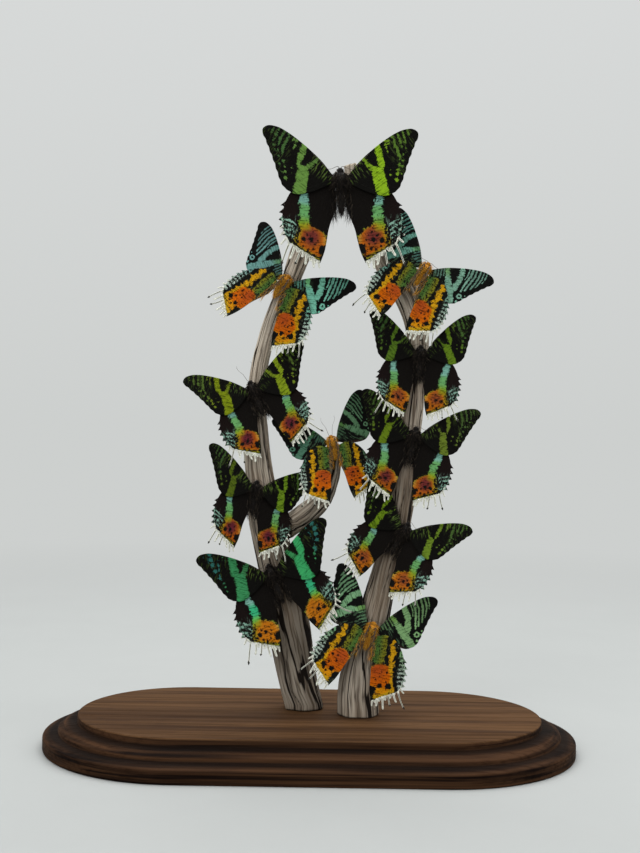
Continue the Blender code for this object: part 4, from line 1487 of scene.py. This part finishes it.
class BuildDriftwood(bpy.types.Operator):
    """Adds the two weathered trunks and the branch"""

    bl_idname = "mounted_moths.driftwood"
    bl_label = "Driftwood"

    def execute(self, context):
        finish = driftwood_finish()
        for seed, node in enumerate(WOODS, start=3):
            data = self.smoothed(node)
            self.weather(data, random.Random(seed), node)
            made = place_mesh(f"{node}_weathered", data, finish)
            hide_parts(node)
        return {"FINISHED"}

    def smoothed(self, node):
        """A finely divided copy of the CAD wood, with its sawn ends kept sharp."""
        mesh = bmesh.new()
        mesh.from_mesh(NODES[node].data)
        bmesh.ops.remove_doubles(mesh, verts=mesh.verts, dist=SAME_PLACE)
        bmesh.ops.join_triangles(
            mesh, faces=mesh.faces,
            angle_face_threshold=math.radians(50), angle_shape_threshold=math.radians(70),
        )
        crease = mesh.edges.layers.float.new("crease_edge")
        for edge in mesh.edges:
            if edge.calc_face_angle(0) > math.radians(55):
                edge[crease] = 1.0
        data = mesh_data("wood", mesh)
        helper = linked("wood", data)
        divide = helper.modifiers.new("divide", "SUBSURF")
        divide.levels = divide.render_levels = settings().wood.level
        graph = bpy.context.evaluated_depsgraph_get()
        done = bpy.data.meshes.new_from_object(helper.evaluated_get(graph))
        bpy.data.objects.remove(helper)
        bpy.data.meshes.remove(data)
        return done

    def weather(self, data, chance, node):
        """Lumps, grooves and cracks along the grain, with the values that the finish reads."""
        values = settings().wood
        points = points_of(data)
        normals = np.empty(len(points) * 3, np.float32)
        data.vertex_normals.foreach_get("vector", normals)
        normals = normals.reshape(-1, 3)
        centre, (axis, _, _) = main_axes(points)
        axis = axis if axis[2] > 0 else -axis
        run = (points - centre) @ axis
        bins = np.linspace(run.min(), run.max(), WOOD_SLICES)
        spot = np.clip(np.digitize(run, bins), 1, WOOD_SLICES - 1)
        line = np.array([
            points[spot == k].mean(0) if (spot == k).any() else [np.nan] * 3 for k in range(1, WOOD_SLICES)
        ])
        middle = (bins[:-1] + bins[1:]) / 2
        good = ~np.isnan(line[:, 0])
        core = np.column_stack([np.interp(run, middle[good], line[good][:, k]) for k in range(3)])
        first = np.cross(axis, (0.0, 1.0, 0.0))
        first /= np.linalg.norm(first)
        second = np.cross(axis, first)
        spoke = points - core
        radius = np.linalg.norm(spoke, axis=1)
        angle = np.arctan2(spoke @ second, spoke @ first)
        twist = angle + run * chance.uniform(3.0, 6.0)
        size = float(np.median(radius))
        around = np.column_stack([np.cos(twist), np.sin(twist)]) * size
        cracks = []
        for _ in range(values.cracks):
            cracks.append((
                chance.uniform(-math.pi, math.pi), chance.uniform(run.min(), run.max()),
                chance.uniform(0.012, 0.05), chance.uniform(0.3, 1.0), chance.uniform(0.35, 0.8) * MM,
            ))
        depth = np.zeros(len(points))
        split = np.zeros(len(points))
        for number in range(len(points)):
            a, b, t = around[number, 0], around[number, 1], run[number]
            broad = noise.noise(Vector((a * 110, b * 110, t * 32)))
            groove = noise.noise(Vector((a * 620, b * 620, t * 26)))
            small = noise.noise(Vector((a * 1500, b * 1500, t * 60)))
            depth[number] = broad * values.lumps - abs(groove) ** 0.7 * values.grooves + small * FINE_GRAIN
        for start, middle_run, reach, strength, width in cracks:
            wander = 0.10 * np.sin(run * 140 + start * 7) + 0.05 * np.sin(run * 420 + start * 3)
            gap = np.abs((twist - start - wander + math.pi) % (2 * math.pi) - math.pi) * radius
            ends = np.clip(1 - np.abs((run - middle_run) / reach), 0, 1) ** 0.5
            hole = np.clip(1 - gap / (width * (0.4 + 0.6 * ends) + 1e-9), 0, 1) * ends * strength
            split = np.maximum(split, hole)
        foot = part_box(node)[0].z
        keep = np.clip((points[:, 2] - foot) / 0.0006, 0, 1)
        depth = depth + WOOD_SWELL - split * values.crack_depth
        moved = points + normals * (depth * keep)[:, None]
        set_points(data, moved)
        add_values(data, "grain", np.column_stack([around, run]))
        add_values(data, "crack", split)
        self.square_foot(data, points, foot)
        # How pale the wood is by height: partly its own tone, partly painted shade low on the trunks under
        # the moths.
        heights, tones_and_shade = zip(*WOOD_TONE_AND_SHADE[node])
        add_values(data, "tone", np.interp(points[:, 2] / MM, heights, tones_and_shade))
        # How near each point is to the board, for the finish's painted contact shadow at the foot.
        add_values(data, "foot", np.clip(1 - (points[:, 2] - foot) / FOOT_SHADOW_HEIGHT, 0, 1))

    def square_foot(self, data, points, foot):
        """Widens the last millimetres above the board, so that the wood ends in a clean sawn edge."""
        shaped = points_of(data)
        height = shaped[:, 2] - foot
        ring = shaped[(height > 0.005) & (height < 0.008)]
        if foot > 0.03 or not len(ring):
            return
        centre = ring[:, :2].mean(0)
        reach = np.percentile(np.linalg.norm(ring[:, :2] - centre, axis=1), 90)
        steps = np.array([-0.001, 0.0004, 0.0012, 0.0022, 0.0034, 0.005])
        wide = []
        for low, high in zip(steps, steps[1:]):
            level = shaped[(height >= low) & (height < high)]
            far = np.percentile(np.linalg.norm(level[:, :2] - centre, axis=1), 90) if len(level) else reach
            wide.append(max(1.0, reach / far))
        grow = np.interp(height, (steps[:-1] + steps[1:]) / 2, wide, right=1.0)
        grow = np.where(height > 0.005, 1.0, grow)
        shaped[:, :2] = centre + (shaped[:, :2] - centre) * grow[:, None]
        set_points(data, shaped)


class BuildBoard(bpy.types.Operator):
    """Adds the stepped walnut board"""

    bl_idname = "mounted_moths.board"
    bl_label = "Board"

    def execute(self, context):
        values = settings().board
        low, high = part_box("base_board")
        radius = (high.y - low.y) / 2
        straight = (high.x - low.x) / 2 - radius
        mesh = bmesh.new()
        corners = [(radius - inset * MM, height * MM) for inset, height in BOARD_CORNERS]
        section = [(0.0, high.z), *self.rounded(corners, values.rounding), (0.0, low.z)]
        points = [mesh.verts.new((straight, reach, height)) for reach, height in section]
        sweep = [mesh.edges.new(pair) for pair in zip(points, points[1:])]
        for centre in (straight, -straight):
            spun = bmesh.ops.spin(
                mesh, geom=sweep, cent=(centre, 0, 0), axis=(0, 0, -1), angle=math.pi, steps=values.end_steps,
            )
            edge = [part for part in spun["geom_last"] if isinstance(part, bmesh.types.BMEdge)]
            drawn = bmesh.ops.extrude_edge_only(mesh, edges=edge)["geom"]
            moved = [part for part in drawn if isinstance(part, bmesh.types.BMVert)]
            bmesh.ops.translate(mesh, verts=moved, vec=(-2 * centre, 0, 0))
            sweep = [part for part in drawn if isinstance(part, bmesh.types.BMEdge) and part.is_boundary]
            sweep = [part for part in sweep if all(corner in moved for corner in part.verts)]
        bmesh.ops.remove_doubles(mesh, verts=mesh.verts, dist=SAME_PLACE)
        bmesh.ops.dissolve_degenerate(mesh, edges=mesh.edges, dist=BOARD_SLIVER)
        bmesh.ops.recalc_face_normals(mesh, faces=mesh.faces)
        made = new_object("walnut_board", mesh, walnut_finish(high.z))
        made.data.set_sharp_from_angle(angle=math.radians(50))
        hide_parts("base_board")
        return {"FINISHED"}

    def rounded(self, corners, reach):
        """The corners as short arcs."""
        done = []
        whole = [(0.0, corners[0][1]), *corners, (0.0, corners[-1][1])]
        for before, corner, after in zip(whole, whole[1:], whole[2:]):
            before, corner, after = Vector(before), Vector(corner), Vector(after)
            near = min(reach, (before - corner).length * 0.45, (after - corner).length * 0.45)
            start = corner + (before - corner).normalized() * near
            stop = corner + (after - corner).normalized() * near
            for step in range(CORNER_STEPS + 1):
                t = step / CORNER_STEPS
                done.append(start * (1 - t) ** 2 + corner * 2 * t * (1 - t) + stop * t ** 2)
        return done


class BuildStage(bpy.types.Operator):
    """Adds the floor, the lights, the room's pale light and the camera"""

    bl_idname = "mounted_moths.stage"
    bl_label = "Stage"

    def execute(self, context):
        values = settings().stage
        scene = context.scene
        scene.view_settings.view_transform = "Standard"
        self.floor(values)
        self.lamp("lamp_above", (0.1, 0.25, 1.5), (0, 0, 0.1), 1.6, 30.0)
        self.lamp("lamp_front", (-0.9, -1.6, 1.1), (0, 0, 0.18), 1.4, 22.0)
        self.lamp("lamp_side", (1.6, -0.5, 0.9), (0, 0, 0.18), 1.0, 8.0)
        room = bpy.data.worlds.new("room")
        room.use_nodes = True
        tree = room.node_tree
        place = tree.nodes.new("ShaderNodeTexCoord")
        rise = tree.nodes.new("ShaderNodeSeparateXYZ")
        tree.links.new(place.outputs["Generated"], rise.inputs[0])
        wall = tree.nodes.new("ShaderNodeValToRGB")
        wall.color_ramp.elements[0].color = (*values.pale, 1.0)
        wall.color_ramp.elements[1].color = (*values.pale_above, 1.0)
        wall.color_ramp.elements[1].position = 0.4
        tree.links.new(rise.outputs["Z"], wall.inputs["Fac"])
        tree.links.new(wall.outputs["Color"], tree.nodes["Background"].inputs["Color"])
        scene.world = room
        lens = bpy.data.cameras.new("camera")
        lens.lens = values.lens
        lens.sensor_width = 36.0
        lens.clip_start = 0.01
        camera = linked("camera", lens)
        turn = Matrix.Rotation(-values.yaw, 4, "Z") @ Matrix.Rotation(math.pi / 2 - values.pitch, 4, "X")
        camera.matrix_world = Matrix.Translation(values.eye) @ turn @ Matrix.Rotation(values.roll, 4, "Z")
        scene.camera = camera
        return {"FINISHED"}

    def floor(self, values):
        """A wide pale floor under the board."""
        mesh = bmesh.new()
        bmesh.ops.create_circle(mesh, cap_ends=True, segments=96, radius=6.0)
        finish = Finish("pale floor")
        place = finish.object_place()
        mottle = finish.noise(place, 14.0, 4.0)
        reach = finish.node("ShaderNodeVectorMath", {0: place}, "Value", operation="LENGTH")
        far = finish.spread(reach, 0.28, 1.25)
        far.node.interpolation_type = "SMOOTHSTEP"
        near = finish.mix(mottle, (0.325, 0.335, 0.33), (0.345, 0.355, 0.35))
        made = linked("floor", mesh_data("floor", mesh))
        made.data.materials.append(finish.set(
            Base_Color=finish.mix(far, near, (0.0, 0.0, 0.0)), Roughness=0.85, Specular_IOR_Level=0.0,
            Emission_Color=values.pale, Emission_Strength=far,
        ))

    def lamp(self, name, place, goal, size, power):
        """A square soft light aimed at a point."""
        light = bpy.data.lights.new(name, "AREA")
        light.size = size
        light.energy = power
        made = linked(name, light)
        made.location = place
        made.rotation_euler = (Vector(goal) - Vector(place)).to_track_quat("-Z", "Y").to_euler()


class MothsPanel(bpy.types.Panel):
    """Buttons for every piece"""

    bl_idname = "VIEW3D_PT_mounted_moths"
    bl_label = "Mounted Moths"
    bl_space_type = "VIEW_3D"
    bl_region_type = "UI"
    bl_category = "Moths"

    def draw(self, context):
        """A button for each piece, then the settings."""
        for operator in PIECES:
            self.layout.operator(operator.bl_idname)
        for group in ("wings", "bodies", "wood", "board", "stage"):
            values = getattr(context.scene.mounted_moths, group)
            box = self.layout.box()
            for name in values.__annotations__:
                box.prop(values, name)


PIECES = (
    BuildStage, BuildBoard, BuildDriftwood, BuildBodies, BuildForewings, BuildHindwings, BuildFringes,
    BuildGlue,
)
GROUPS = (WingSettings, BodySettings, WoodSettings, BoardSettings, StageSettings, MothSettings)


def register():
    """Adds the settings, the pieces and the panel."""
    for kind in (*GROUPS, *PIECES, MothsPanel):
        bpy.utils.register_class(kind)
    bpy.types.Scene.mounted_moths = PointerProperty(type=MothSettings)


def unregister():
    """Takes them away again."""
    del bpy.types.Scene.mounted_moths
    for kind in reversed((*GROUPS, *PIECES, MothsPanel)):
        bpy.utils.unregister_class(kind)


def main():
    """Builds every piece."""
    register()
    for piece in PIECES:
        group, name = piece.bl_idname.split(".")
        getattr(getattr(bpy.ops, group), name)()


if __name__ == "__main__":
    main()
